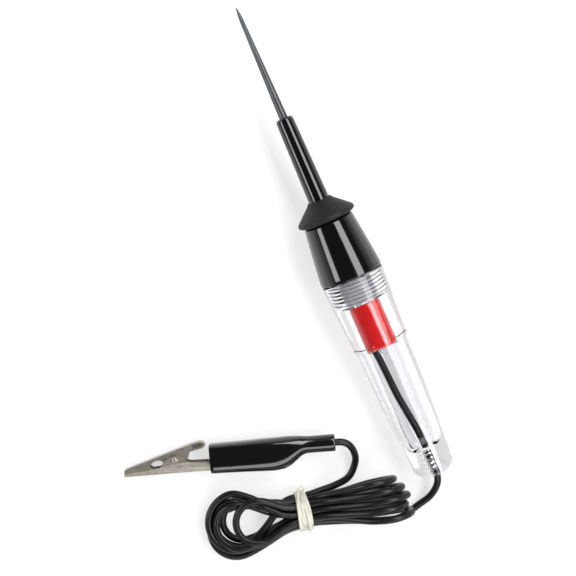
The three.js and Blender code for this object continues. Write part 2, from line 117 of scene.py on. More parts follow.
# The lead's way outside the hank, in metres.
LEAD_TO_HANK = [
    (-0.10724, 0, 0.00889),
    (-0.1106, 0.0007, 0.0081),
    (-0.1141, 0.003, 0.006),
    (-0.1171, 0.0069, 0.0036),
    (-0.1186, 0.0116, 0.0021),
]
LEAD_TO_CLIP = [
    (-0.0892, 0.0298, 0.0034),
    (-0.0863, 0.0291, 0.0049),
    (-0.083, 0.0292, 0.0067),
    (-0.0803, 0.0302, 0.008),
    (-0.0784, 0.0322, 0.00875),
    (-0.07746, 0.03485, 0.0088),
    (-0.07522, 0.04157, 0.00833),
    (-0.0733, 0.04724, 0.00793),
    (-0.07098, 0.05803, 0.0072),
    (-0.07043, 0.06731, 0.00661),
    (-0.06898, 0.07419, 0.00614),
]

# The hank lies on this heading, and its strands cross its tie in three layers.
HANK_HEADING = math.radians(79)
HANK_SHIFT = Vector((-0.002, 0.0009, 0))
TIE_ROWS = [(2.95, 5), (5.64, 4), (8.33, 3)]
STRAND_SPACING = 3.15


# ---------------------------------------------------------------- settings


class LightSizes(bpy.types.PropertyGroup):
    """Sizes that the CAD model leaves to the finish."""

    lead_diameter: FloatProperty(
        name="Lead diameter", description="Outside of the lead's jacket",
        default=0.0031, min=0.002, max=0.004, subtype="DISTANCE", unit="LENGTH")
    fold_radius: FloatProperty(
        name="Fold radius", description="Radius of the hank's upright folds",
        default=0.0093, min=0.007, max=0.012, subtype="DISTANCE", unit="LENGTH")
    band_diameter: FloatProperty(
        name="Band strand", description="Thickness of the rubber tie's strands",
        default=0.0012, min=0.0006, max=0.0016, subtype="DISTANCE", unit="LENGTH")
    edge_rounding: FloatProperty(
        name="Edge rounding", description="Rounding of the clip's pressed edges",
        default=0.00015, min=0.00002, max=0.0002, subtype="DISTANCE", unit="LENGTH")
    turned_sides: IntProperty(
        name="Sides round a turned piece", description="Steps round the tool's turned pieces",
        default=112, min=24, max=256)
    spring_turns: FloatProperty(
        name="Contact spring turns", description="Turns of the spring behind the lamp's contact",
        default=6.5, min=3, max=12)
    camera_distance: FloatProperty(
        name="Camera distance", description="From the camera to the middle of the view",
        default=0.69, min=0.3, max=2, subtype="DISTANCE", unit="LENGTH")


def colour(name, description, default):
    return FloatVectorProperty(
        name=name, description=description, default=default,
        min=0, max=1, size=3, subtype="COLOR")


class LightColours(bpy.types.PropertyGroup):
    """Colours of the materials, in linear light."""

    clear: colour("Clear plastic", "Tint of the handle", (0.94, 0.937, 0.955))
    insert: colour("Insert", "The threaded insert in the nose", (0.62, 0.62, 0.66))
    sleeve: colour("Sleeve", "The lamp's coloured sleeve", (0.9, 0.012, 0.016))
    black: colour("Black plastic", "The nose and the insulator", (0.0022, 0.0022, 0.0026))
    flange: colour("Flange", "The soft flange", (0.004, 0.004, 0.0045))
    jacket: colour("Lead jacket", "The lead's jacket", (0.0026, 0.0026, 0.003))
    boot: colour("Boot", "The clip's boot", (0.003, 0.003, 0.0034))
    probe: colour("Probe steel", "The darkened needle", (0.1, 0.102, 0.108))
    nickel: colour("Nickel", "The clip's plating", (0.56, 0.515, 0.45))
    steel: colour("Spring steel", "The springs", (0.46, 0.46, 0.47))
    brass: colour("Brass", "The lamp's holder", (0.62, 0.42, 0.16))
    copper: colour("Copper", "The lead's strands", (0.72, 0.32, 0.17))
    solder: colour("Solder", "The soldered joint", (0.55, 0.56, 0.58))
    rubber: colour("Rubber band", "The tie", (0.68, 0.66, 0.58))
    floor: colour("Floor", "The floor", (0.36, 0.36, 0.36))


def sizes():
    return bpy.context.scene.test_light_sizes


def colours():
    return bpy.context.scene.test_light_colours


# ---------------------------------------------------------------- places


def columns(x, y, z, origin):
    """The matrix of a frame whose drawing is in mm."""
    turn = Matrix((x, y, z)).transposed().to_4x4()
    return Matrix.Translation(origin) @ turn @ Matrix.Scale(MM, 4)


def tool_place():
    """x runs to the probe's tip, from 0 there, and z up."""
    x = Vector(JOINTS["nose_unscrew"]["axis"]).normalized()
    point = Vector(JOINTS["nose_unscrew"]["pos_m"])
    y = Vector((0, 1, 0))
    tip_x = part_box("probe_needle")[1].x
    return columns(x, y, x.cross(y), point + x * ((tip_x - point.x) / x.x))


def clip_place():
    x = Vector(JOINTS["boot_slide"]["axis"]).normalized()
    z = -Vector(JOINTS["clip_open"]["axis"]).normalized()
    return columns(x, z.cross(x), z, Vector(JOINTS["clip_open"]["pos_m"]))


def hank_place():
    low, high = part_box("hank_band")
    x = Vector((math.cos(HANK_HEADING), math.sin(HANK_HEADING), 0))
    z = Vector((0, 0, 1))
    middle = (low + high) / 2 + HANK_SHIFT
    return columns(x, z.cross(x), z, Vector((middle.x, middle.y, 0)))


TOOL = tool_place()
CLIP = clip_place()
HANK = hank_place()
ALONG_TOOL = Matrix.Rotation(math.radians(90), 4, "Y")  # turns a z axis to lie along the tool


# ---------------------------------------------------------------- shader maths


class Value:
    """A number socket that takes part in expressions."""

    def __init__(self, finish, socket):
        self.finish = finish
        self.socket = socket

    def math(self, operation, *operands):
        node = self.finish.node("ShaderNodeMath", dict(enumerate(operands)), operation=operation)
        return Value(self.finish, node.outputs[0])

    def __add__(self, other):
        return self.math("ADD", self, other)

    def __radd__(self, other):
        return self.math("ADD", other, self)

    def __sub__(self, other):
        return self.math("SUBTRACT", self, other)

    def __rsub__(self, other):
        return self.math("SUBTRACT", other, self)

    def __mul__(self, other):
        return self.math("MULTIPLY", self, other)

    def __rmul__(self, other):
        return self.math("MULTIPLY", other, self)

    def above(self, low, high):
        """0 below low, 1 above high, smooth between."""
        node = self.finish.node(
            "ShaderNodeMapRange",
            {"Value": self, "From Min": low, "From Max": high},
            interpolation_type="SMOOTHSTEP")
        return Value(self.finish, node.outputs[0])


class Finish:
    """A material, built node by node round one Principled shader."""

    def __init__(self, name, **shader_values):
        self.material = bpy.data.materials.new(name)
        self.material.use_nodes = True
        self.tree = self.material.node_tree
        self.shader = self.tree.nodes["Principled BSDF"]
        for key, value in shader_values.items():
            self.shader.inputs[key.replace("_", " ")].default_value = value
        self.height = None

    def node(self, kind, values=(), **settings):
        """A node with its settings, and then the values or links of its sockets."""
        node = self.tree.nodes.new(kind)
        for key, setting in settings.items():
            setattr(node, key, setting)
        for key, value in dict(values).items():
            socket = value.socket if isinstance(value, Value) else value
            if isinstance(socket, bpy.types.NodeSocket):
                self.tree.links.new(socket, node.inputs[key])
            else:
                node.inputs[key].default_value = socket
        return node

    def place(self, scale=(1, 1, 1), turned=None):
        """Object coordinates, turned into the tool's or the clip's frame first if asked."""
        socket = self.node("ShaderNodeTexCoord").outputs["Object"]
        if turned is not None:
            back = turned.inverted()
            mapping = self.node(
                "ShaderNodeMapping",
                {"Vector": socket, "Location": back.translation * MM,
                 "Rotation": back.to_euler(), "Scale": (1, 1, 1)})
            socket = mapping.outputs[0]
        stretch = self.node(
            "ShaderNodeVectorMath", {0: socket, 1: scale}, operation="MULTIPLY")
        return stretch.outputs[0]

    def noise(self, scale, detail=3.0, rough=0.5, stretch=(1, 1, 1), turned=None):
        node = self.node(
            "ShaderNodeTexNoise",
            {"Vector": self.place(stretch, turned), "Scale": scale,
             "Detail": detail, "Roughness": rough})
        return Value(self, node.outputs["Fac"])

    def cells(self, scale, stretch=(1, 1, 1), turned=None):
        node = self.node(
            "ShaderNodeTexVoronoi",
            {"Vector": self.place(stretch, turned), "Scale": scale})
        return Value(self, node.outputs["Distance"])

    def blend(self, factor, first, second):
        """A colour between two."""
        node = self.node("ShaderNodeMix", data_type="RGBA")
        for index, value in ((0, factor), (6, first), (7, second)):
            socket = value.socket if isinstance(value, Value) else value
            if isinstance(socket, bpy.types.NodeSocket):
                self.tree.links.new(socket, node.inputs[index])
            elif index:
                node.inputs[index].default_value = (*socket, 1)
            else:
                node.inputs[index].default_value = socket
        return node.outputs[2]

    def feed(self, name, value):
        socket = value.socket if isinstance(value, Value) else value
        self.tree.links.new(socket, self.shader.inputs[name])

    def bump(self, height, depth, strength=1.0):
        """Relief of the given depth, in metres, on top of what there is."""
        values = {"Height": height, "Distance": depth, "Strength": strength}
        if self.height is not None:
            values["Normal"] = self.height
        self.height = self.node("ShaderNodeBump", values).outputs[0]
        self.feed("Normal", self.height)


def shade(tone, factor):
    """A colour made darker or lighter."""
    return tuple(min(1.0, channel * factor) for channel in tone)


def made(name, build):
    """The material of that name, built the first time."""
    found = bpy.data.materials.get(name)
    return found or build(name).material


# ---------------------------------------------------------------- materials


def clear_plastic():
    def build(name):
        finish = Finish(name, Transmission_Weight=1.0, IOR=1.49)
        haze = finish.noise(90, 4, 0.6)
        finish.feed("Base Color", finish.blend(
            haze, tuple(colours().clear), shade(colours().clear, 0.975)))
        rub = finish.noise(1500, 3, 0.65, (0.12, 1, 1), TOOL).above(0.62, 0.8)
        finish.feed("Roughness", 0.012 + 0.03 * haze + 0.10 * rub)
        finish.bump(finish.noise(160, 2, 0.4, (0.3, 1, 1), TOOL), 0.00003, 0.25)
        finish.bump(rub, 0.000004, 0.4)
        return finish
    return made("clear plastic", build)


def pale_plastic():
    def build(name):
        finish = Finish(name, IOR=1.5, Subsurface_Weight=0.2, Subsurface_Scale=0.001)
        cloud = finish.noise(240, 3, 0.55)
        finish.feed("Base Color", finish.blend(
            cloud, shade(colours().insert, 0.93), shade(colours().insert, 1.06)))
        finish.feed("Roughness", 0.25 + 0.12 * cloud)
        finish.bump(finish.noise(900, 3, 0.5, (0.2, 1, 1), TOOL), 0.00001, 0.4)
        return finish
    return made("pale plastic", build)


def red_plastic():
    def build(name):
        finish = Finish(name, IOR=1.5, Subsurface_Weight=0.25, Subsurface_Scale=0.002,
                        Subsurface_Radius=(1.0, 0.08, 0.06), Coat_Roughness=0.05)
        cloud = finish.noise(220, 3, 0.55)
        finish.feed("Base Color", finish.blend(
            cloud, shade(colours().sleeve, 0.88), shade(colours().sleeve, 1.1)))
        finish.feed("Roughness", 0.1 + 0.08 * cloud)
        finish.feed("Coat Weight", 0.2 + 0.2 * cloud)
        finish.bump(finish.noise(700, 3, 0.5, (0.2, 1, 1), TOOL), 0.00002, 0.4)
        return finish
    return made("red plastic", build)


def gloss_black():
    def build(name):
        finish = Finish(name, IOR=1.5, Coat_Roughness=0.04)
        cloud = finish.noise(140, 3, 0.5)
        wear = finish.noise(2600, 4, 0.7, (0.08, 1, 1), TOOL).above(0.64, 0.78)
        finish.feed("Base Color", finish.blend(
            wear, tuple(colours().black), shade(colours().black, 2.6)))
        finish.feed("Roughness", 0.075 + 0.05 * cloud + 0.2 * wear)
        finish.feed("Coat Weight", 0.4 - 0.3 * wear)
        finish.bump(finish.noise(420, 2, 0.5, (0.25, 1, 1), TOOL), 0.00003, 0.3)
        finish.bump(finish.noise(5200, 2, 0.5), 0.000004, 0.35)
        return finish
    return made("gloss black plastic", build)


def matt_black():
    def build(name):
        finish = Finish(name, IOR=1.5, Specular_IOR_Level=0.34)
        grain = finish.noise(6500, 3, 0.6)
        cloud = finish.noise(240, 4, 0.6)
        finish.feed("Base Color", finish.blend(
            cloud, shade(colours().flange, 0.75), shade(colours().flange, 1.35)))
        finish.feed("Roughness", 0.42 + 0.16 * cloud + 0.08 * grain)
        finish.bump(grain, 0.000025, 0.7)
        rings = finish.noise(1500, 2, 0.4, (1, 0.02, 0.02), TOOL)
        finish.bump(rings, 0.00003, 0.35)
        return finish
    return made("matt black rubber", build)


def probe_steel():
    def build(name):
        finish = Finish(name, Metallic=1.0)
        marks = finish.noise(5200, 3, 0.6, (1, 0.06, 0.06), TOOL)
        stain = finish.noise(170, 4, 0.6)
        finish.feed("Base Color", finish.blend(
            stain, shade(colours().probe, 0.62), shade(colours().probe, 1.45)))
        finish.feed("Roughness", 0.26 + 0.16 * stain + 0.12 * marks)
        finish.bump(marks, 0.000012, 0.55)
        finish.bump(finish.noise(9000, 2, 0.6), 0.000004, 0.4)
        return finish
    return made("darkened probe steel", build)


def plated(name, tone, roughness, turned, stain_share=0.72, metallic=1.0):
    def build(name):
        finish = Finish(name, Metallic=metallic)
        stain = finish.noise(420, 5, 0.65)
        lines = finish.noise(7000, 3, 0.6, (0.05, 1, 1), turned)
        pits = 1 - finish.cells(3800).above(0.05, 0.22)
        finish.feed("Base Color", finish.blend(
            stain, shade(tone, stain_share), shade(tone, 1.12)))
        finish.feed("Roughness", roughness + 0.14 * stain + 0.1 * lines)
        finish.bump(lines, 0.000008, 0.5)
        finish.bump(pits, 0.00001, 0.25)
        return finish
    return made(name, build)


def nickel():
    return plated("stamped nickel plate", tuple(colours().nickel), 0.18, CLIP, 0.5, 0.8)


def nickel_turned():
    return plated("turned nickel plate", tuple(colours().nickel), 0.14, TOOL)


def brass():
    return plated("brass", tuple(colours().brass), 0.18, TOOL)


def copper():
    return plated("bare copper", tuple(colours().copper), 0.2, CLIP)


def spring_steel():
    return plated("spring steel wire", tuple(colours().steel), 0.16, CLIP)


def solder():
    return plated("solder", tuple(colours().solder), 0.24, TOOL, 0.8)


def lamp_glass():
    def build(name):
        finish = Finish(name, Transmission_Weight=1.0, IOR=1.47, Roughness=0.0)
        smoke = finish.noise(300, 3, 0.5)
        finish.feed("Base Color", finish.blend(smoke, (0.97, 0.97, 0.96), (0.99, 0.99, 0.99)))
        finish.bump(finish.noise(500, 2, 0.4), 0.00002, 0.3)
        return finish
    return made("lamp glass", build)


def jacket():
    def build(name):
        finish = Finish(name, IOR=1.5, Specular_IOR_Level=0.36)
        cloud = finish.noise(260, 4, 0.6)
        grain = finish.noise(9000, 2, 0.6)
        scuff = finish.noise(900, 5, 0.7).above(0.6, 0.74)
        finish.feed("Base Color", finish.blend(
            scuff, tuple(colours().jacket), shade(colours().jacket, 1.9)))
        finish.feed("Roughness", 0.3 + 0.12 * cloud + 0.16 * scuff)
        finish.bump(finish.noise(650, 3, 0.5), 0.00005, 0.3)
        finish.bump(grain, 0.000008, 0.45)
        return finish
    return made("lead jacket", build)


def vinyl():
    def build(name):
        finish = Finish(name, IOR=1.53, Coat_Roughness=0.04)
        cloud = finish.noise(150, 3, 0.5)
        dust = finish.noise(3500, 4, 0.7).above(0.68, 0.8)
        finish.feed("Base Color", finish.blend(
            dust, tuple(colours().boot), shade(colours().boot, 4)))
        finish.feed("Roughness", 0.09 + 0.06 * cloud + 0.2 * dust)
        finish.feed("Coat Weight", 0.5 - 0.3 * dust)
        finish.bump(finish.noise(190, 2, 0.45), 0.00022, 0.28)
        finish.bump(finish.noise(1400, 2, 0.5), 0.00001, 0.25)
        return finish
    return made("dipped vinyl", build)


def rubber():
    def build(name):
        finish = Finish(name, Subsurface_Weight=0.2, Subsurface_Scale=0.001,
                        Subsurface_Radius=(1.0, 0.8, 0.5))
        cloud = finish.noise(900, 4, 0.6)
        talc = finish.noise(5000, 3, 0.6).above(0.45, 0.7)
        finish.feed("Base Color", finish.blend(
            cloud, shade(colours().rubber, 0.86), shade(colours().rubber, 1.12)))
        finish.feed("Roughness", 0.5 + 0.25 * talc)
        finish.bump(cloud, 0.00008, 0.6)
        finish.bump(talc, 0.00001, 0.5)
        return finish
    return made("pale rubber", build)


def floor_paper():
    def build(name):
        finish = Finish(name, Specular_IOR_Level=0.1, Emission_Strength=0.62,
                        Emission_Color=(1, 1, 1, 1))
        tooth = finish.noise(700, 4, 0.6)
        finish.feed("Base Color", finish.blend(
            tooth, shade(colours().floor, 0.992), tuple(colours().floor)))
        finish.feed("Roughness", 0.75 + 0.1 * tooth)
        return finish
    return made("pale floor", build)


# ---------------------------------------------------------------- mesh tools


def finished(piece, material, body, nodes=()):
    """Gives a piece its material, its body and the CAD nodes it stands for."""
    if material is not None:
        piece.data.materials.clear()
        piece.data.materials.append(material)
    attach(piece, body)
    if nodes:
        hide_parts(*nodes)


def object_of(name, mesh):
    piece = bpy.data.objects.new(name, mesh)
    bpy.context.scene.collection.objects.link(piece)
    return piece


def smoothed(mesh, sharp_above=38):
    """Smooth faces, with edges sharper than the angle kept crisp."""
    mesh.shade_smooth()
    mesh.set_sharp_from_angle(angle=math.radians(sharp_above))
    return mesh


def mesh_of(name, points, faces, place, sharp_above=38):
    """A closed mesh from points in mm, welded, with its faces turned outwards."""
    mesh = bpy.data.meshes.new(name)
    shape = bmesh.new()
    corners = [shape.verts.new(place @ Vector(point)) for point in points]
    for face in faces:
        shape.faces.new([corners[i] for i in face])
    bmesh.ops.remove_doubles(shape, verts=shape.verts, dist=0.004 * MM)
    bmesh.ops.dissolve_degenerate(shape, edges=shape.edges, dist=0.002 * MM)
    bmesh.ops.recalc_face_normals(shape, faces=shape.faces)
    shape.to_mesh(mesh)
    shape.free()
    return object_of(name, smoothed(mesh, sharp_above))


def filleted(outline, steps=5, looped=False):
    """An outline whose corners (x, y, radius) are rounded; a corner with no radius stays."""
    count = len(outline)
    points = []
    for i, (x, y, *radius) in enumerate(outline):
        corner = Vector((x, y))
        at_end = not looped and i in (0, count - 1)
        if not radius or at_end:
            points.append((x, y))
            continue
        before = Vector(outline[i - 1][:2]) - corner
        after = Vector(outline[(i + 1) % count][:2]) - corner
        cut = min(radius[0], 0.49 * before.length, 0.49 * after.length)
        start = corner + before.normalized() * cut
        end = corner + after.normalized() * cut
        for step in range(steps + 1):
            t = step / steps
            point = start * (1 - t) ** 2 + corner * 2 * t * (1 - t) + end * t ** 2
            points.append(tuple(point))
    return points


def grid_faces(rows, around, looped_rows):
    """Faces between rings of points, and between the last ring and the first if looped."""
    faces = []
    for i in range(rows if looped_rows else rows - 1):
        here, there = i * around, (i + 1) % rows * around
        for j in range(around):
            ahead = (j + 1) % around
            faces.append((here + j, here + ahead, there + ahead, there + j))
    return faces


def turned(name, profile, place, looped=False, off_axis=0.0):
    """A piece turned about the tool's axis. The profile's points are (station, radius)."""
    sides = sizes().turned_sides
    points = []
    for station, radius in profile:
        for j in range(sides):
            angle = math.tau * j / sides
            points.append((-station, radius * math.cos(angle) + off_axis, radius * math.sin(angle)))
    return mesh_of(name, points, grid_faces(len(profile), sides, looped), place)


THREAD_FORM = [(step / 10, (1 - math.cos(math.tau * step / 10)) / 2) for step in range(10)]


def thread_points(angle, start, end, base, crest, phase):
    """The thread's points down one side of a piece, from start to end, at an angle round the axis.
    The ridge is a right-hand winding that fades out over the last turn at each end."""
    points = []
    turns = math.ceil((end - start) / THREAD_PITCH) + 2
    first = THREAD_START + phase - THREAD_PITCH * (0.5 + angle / math.tau)
    first -= THREAD_PITCH * math.ceil((THREAD_START - start) / THREAD_PITCH)
    for turn in range(turns + 1):
        for fraction, share in THREAD_FORM:
            station = first + THREAD_PITCH * (turn + fraction)
            held = min(max(station, start), end)
            fade = min(1, (held - start) / THREAD_PITCH, (end - held) / THREAD_PITCH)
            points.append((held, base + (crest - base) * share * max(0, fade)))
    return points


def threaded(name, before, thread, after, place):
    """A turned ring whose profile carries a thread between its points before and after.
    The thread is its start, end, base radius, crest radius and shift along the axis."""
    sides = sizes().turned_sides
    points = []
    for j in range(sides + 1):
        angle = math.tau * j / sides
        profile = [*before, *thread_points(angle, *thread), *after]
        for station, radius in profile:
            points.append((-station, -radius * math.sin(angle), radius * math.cos(angle)))
    return mesh_of(name, points, grid_faces(sides + 1, len(profile), False), place)


# ---------------------------------------------------------------- geometry nodes


class NodeMaker:
    """A geometry node tree in the making, with named inputs."""

    def __init__(self, name, inputs):
        self.tree = bpy.data.node_groups.new(name, "GeometryNodeTree")
        face = self.tree.interface
        self.ids = {}
        for label, kind in inputs:
            socket = face.new_socket(label, in_out="INPUT", socket_type=kind)
            self.ids[label] = socket.identifier
        face.new_socket("Geometry", in_out="OUTPUT", socket_type="NodeSocketGeometry")
        self.start = self.tree.nodes.new("NodeGroupInput")

    def node(self, kind, values=(), **settings):
        node = self.tree.nodes.new(kind)
        for key, setting in settings.items():
            setattr(node, key, setting)
        for key, value in dict(values).items():
            if isinstance(value, str):
                value = self.start.outputs[value]
            if isinstance(value, bpy.types.NodeSocket):
                self.tree.links.new(value, node.inputs[key])
            else:
                node.inputs[key].default_value = value
        return node.outputs[0]

    def swept(self, curve):
        """A round bar along a curve, ending the tree."""
        ring = self.node(
            "GeometryNodeCurvePrimitiveCircle", {"Resolution": "Sides", "Radius": "Radius"})
        bar = self.node("GeometryNodeCurveToMesh", {"Curve": curve, "Profile Curve": ring})
        bar.node.inputs["Fill Caps"].default_value = True
        smooth = self.node("GeometryNodeSetShadeSmooth", {"Geometry": bar})
        real = self.node("GeometryNodeRealizeInstances", {"Geometry": smooth})
        coloured = self.node("GeometryNodeSetMaterial", {"Geometry": real, "Material": "Material"})
        self.tree.links.new(coloured, self.tree.nodes.new("NodeGroupOutput").inputs[0])
        return self


def bar_tree():
    """A round bar along each line of the mesh that it is given."""
    maker = NodeMaker("bar along lines", [
        ("Geometry", "NodeSocketGeometry"), ("Radius", "NodeSocketFloat"),
        ("Sides", "NodeSocketInt"), ("Material", "NodeSocketMaterial")])
    return maker.swept(maker.node("GeometryNodeMeshToCurve", {"Mesh": "Geometry"}))


def coil_tree():
    """A coil of round wire about its own z axis, from 0 up."""
    maker = NodeMaker("wire coil", [
        ("Turns", "NodeSocketFloat"), ("Coil radius", "NodeSocketFloat"),
        ("Height", "NodeSocketFloat"), ("Steps", "NodeSocketInt"),
        ("Radius", "NodeSocketFloat"), ("Sides", "NodeSocketInt"),
        ("Material", "NodeSocketMaterial")])
    spiral = maker.node("GeometryNodeCurveSpiral", {
        "Rotations": "Turns", "Start Radius": "Coil radius", "End Radius": "Coil radius",
        "Height": "Height", "Resolution": "Steps"})
    return maker.swept(spiral)


def grown(name, maker, source, settings, place=None):
    """Runs a tree on a mesh and keeps the result as a plain mesh piece."""
    carrier = object_of(name + "_source", source)
    modifier = carrier.modifiers.new("grown", "NODES")
    modifier.node_group = maker.tree
    for label, value in settings.items():
        modifier[maker.ids[label]] = value
    bpy.context.view_layer.update()
    evaluated = carrier.evaluated_get(bpy.context.evaluated_depsgraph_get())
    mesh = bpy.data.meshes.new_from_object(evaluated)
    carrier.modifiers.remove(modifier)
    bpy.data.objects.remove(carrier)
    if place is not None:
        mesh.transform(place)
    shape = bmesh.new()
    shape.from_mesh(mesh)
    bmesh.ops.recalc_face_normals(shape, faces=shape.faces)
    shape.to_mesh(mesh)
    shape.free()
    mesh.name = name
    return object_of(name, smoothed(mesh, 50))


def bars(name, lines, radius, material, sides=14):
    """Round bars along lines of points in metres."""
    points = [point for line in lines for point in line]
    edges = []
    start = 0
    for line in lines:
        edges += [(start + i, start + i + 1) for i in range(len(line) - 1)]
        start += len(line)
    source = bpy.data.meshes.new(name + "_lines")
    source.from_pydata(points, edges, [])
    return grown(name, bar_tree(), source, {"Radius": radius, "Sides": sides, "Material": material})


def smooth_line(points, step):
    """A centripetal Catmull-Rom curve through the points, stepped evenly."""
    ends = [2 * points[0] - points[1], *points, 2 * points[-1] - points[-2]]
    line = []
    for a, b, c, d in zip(ends, ends[1:], ends[2:], ends[3:]):
        knots = np.cumsum([0] + [max(np.linalg.norm(q - p), 1e-9) ** 0.5
                                 for p, q in ((a, b), (b, c), (c, d))])
        count = max(2, int(np.linalg.norm(c - b) / step * 2))
        for t in np.linspace(knots[1], knots[2], count, endpoint=False):
            def between(p, q, i, j):
                return ((knots[j] - t) * p + (t - knots[i]) * q) / (knots[j] - knots[i])
            ab, bc, cd = between(a, b, 0, 1), between(b, c, 1, 2), between(c, d, 2, 3)
            line.append(between(between(ab, bc, 0, 2), between(bc, cd, 1, 3), 1, 2))
    line.append(points[-1])
    return spaced(np.array(line), step)


def spaced(line, step):
    along = np.concatenate([[0], np.cumsum(np.linalg.norm(np.diff(line, axis=0), axis=1))])
    at = np.linspace(0, along[-1], max(2, round(along[-1] / step) + 1))
    return np.stack([np.interp(at, along, line[:, k]) for k in range(3)], axis=1)


def placed(points, place):
    """Points in mm in a frame, as metres in the part's frame."""
    return [np.array(place @ Vector(point)) for point in points]


# ---------------------------------------------------------------- the hank

# The loose loops, which lie nearly flat: far end, low side, high side, height of the sides and of
# the far end, in mm from the tie. Which rows of the tie each joins follows after.
LOOSE_LOOPS = {
    "lowest": (41.4, -14.0, 8.2, 1.6, 1.6),
    "under": (36.0, -7.6, 10.6, 1.7, 1.7),
    "inner": (38.6, -8.6, 12.6, 4.6, 3.0),
    "middle": (39.3, -8.2, 10.4, 7.4, 4.6),
    "outer": (41.0, -10.6, 14.6, 5.2, 4.7),
    "small": (30.2, -9.0, 9.6, 8.6, 7.8),
}
# The upright folds at the other end: far end, and how far across their top and foot strands lie.
FOLDS = {
    "first": (-40.6, 8.2, 5.0),
    "second": (-43.4, 4.0, 1.2),
    "third": (-45.0, -0.2, -2.6),
    "fourth": (-43.4, -4.2, -5.8),
    "fifth": (-45.4, -8.4, -8.9),
}
# The lead's way through them: loop, row and place in the tie before it and after it.
WINDING = [
    ("lowest", (0, 0), (0, 3)), ("first", (0, 3), (1, 3)), ("middle", (1, 3), (1, 0)),
    ("fifth", (1, 0), (0, 1)), ("under", (0, 1), (1, 2)), ("second", (1, 2), (2, 2)),
    ("small", (2, 2), (2, 0)), ("fourth", (2, 0), (1, 1)), ("inner", (1, 1), (0, 2)),
    ("third", (0, 2), (2, 1)), ("outer", (2, 1), (0, 4)),
]
LEAD_INTO_TIE = [(-40, -12.9, 1.6), (-33, -12.3, 1.6), (-25, -10.6, 1.6), (-16, -8.6, 1.7),
                 (-9, -7.2, 2.4)]
LEAD_OUT_OF_TIE = [(-9, 6.8, 2.4), (-16, 7.6, 1.7), (-22.5, 9.9, 1.6)]
TIE_MOUTH = 4.2  # where the strands leave the tie
FLOOR_STRAND = 1.6  # height of a strand that lies on the floor
TIE_HOLDS = (3.4, 9)  # how far along and across the tie holds the strands still
HELD_AT_HANDLE = 14  # points of the lead that stay where they are, 2 mm apart
HELD_AT_CLIP = 32


def tie_slot(row, place):
    height, count = TIE_ROWS[row]
    return STRAND_SPACING * (place - (count - 1) / 2), height


def eased(share):
    share = min(max(share, 0), 1)
    return share * share * (3 - 2 * share)


def side_strand(slot, target, reach, stops):
    """The points of a strand from the tie out to a loop's side, both (across, height)."""
    points = []
    for along in stops:
        share = eased((abs(along) - TIE_MOUTH) / (reach - TIE_MOUTH))
        across = slot[0] + (target[0] - slot[0]) * share
        points.append((along, across, slot[1] + (target[1] - slot[1]) * share))
    return points


def loose_loop(shape, slot_in, slot_out, rising):
    far, low, high, height, far_height = shape
    radius, middle = (high - low) / 2, (high + low) / 2
    centre = far - radius
    stops = (TIE_MOUTH, 8.5, 13, 17.5)
    sign = 1 if rising else -1
    points = side_strand(slot_in, (middle - sign * radius, height), centre, stops)
    for degrees in range(-90, 91, 30):
        turn = math.radians(degrees)
        points.append((
            centre + radius * math.cos(turn), middle + sign * radius * math.sin(turn),
            height + (far_height - height) * math.cos(turn)))
    points += side_strand(slot_out, (middle + sign * radius, height), centre, stops)[::-1]
    return points


def fold(shape, slot_in, slot_out):
    """An upright fold: the higher of the two strands goes over its top."""
    far, top_across, foot_across = shape
    radius = sizes().fold_radius / MM
    centre = far + radius
    stops = (-TIE_MOUTH, -10, -16, -22, -28)
    top = (top_across, FLOOR_STRAND + 2 * radius)
    foot = (foot_across, FLOOR_STRAND)
    top_first = slot_in[1] >= slot_out[1]
    first, last = (top, foot) if top_first else (foot, top)
    points = side_strand(slot_in, first, -centre, stops)
    for degrees in range(-90, 91, 30):
        turn = math.radians(degrees)
        share = (1 + math.sin(turn)) / 2
        points.append((
            centre - radius * math.cos(turn), first[0] + (last[0] - first[0]) * share,
            first[1] + (last[1] - first[1]) * share))
    points += side_strand(slot_out, last, -centre, stops)[::-1]
    return points


def drawn_lead():
    """The lead's way as it is first laid, with strands still running into each other."""
    start = tie_slot(0, 0)
    points = [*LEAD_INTO_TIE, (-TIE_MOUTH, *start), (0, *start)]
    for name, before, after in WINDING:
        slot_in, slot_out = tie_slot(*before), tie_slot(*after)
        if name in FOLDS:
            points += fold(FOLDS[name], slot_in, slot_out)
        else:
            rising = slot_out[0] > slot_in[0] and name != "outer"
            points += loose_loop(LOOSE_LOOPS[name], slot_in, slot_out, rising)
        points.append((0, *slot_out))
    points += [(-TIE_MOUTH, *slot_out), *LEAD_OUT_OF_TIE]
    # across counts towards the probe, and the hank's own y away from it
    points = [(along, -across, height) for along, across, height in points]
    whole = [*map(np.array, LEAD_TO_HANK), *placed(points, HANK), *map(np.array, LEAD_TO_CLIP)]
    return smooth_line(whole, 2.0 * MM)


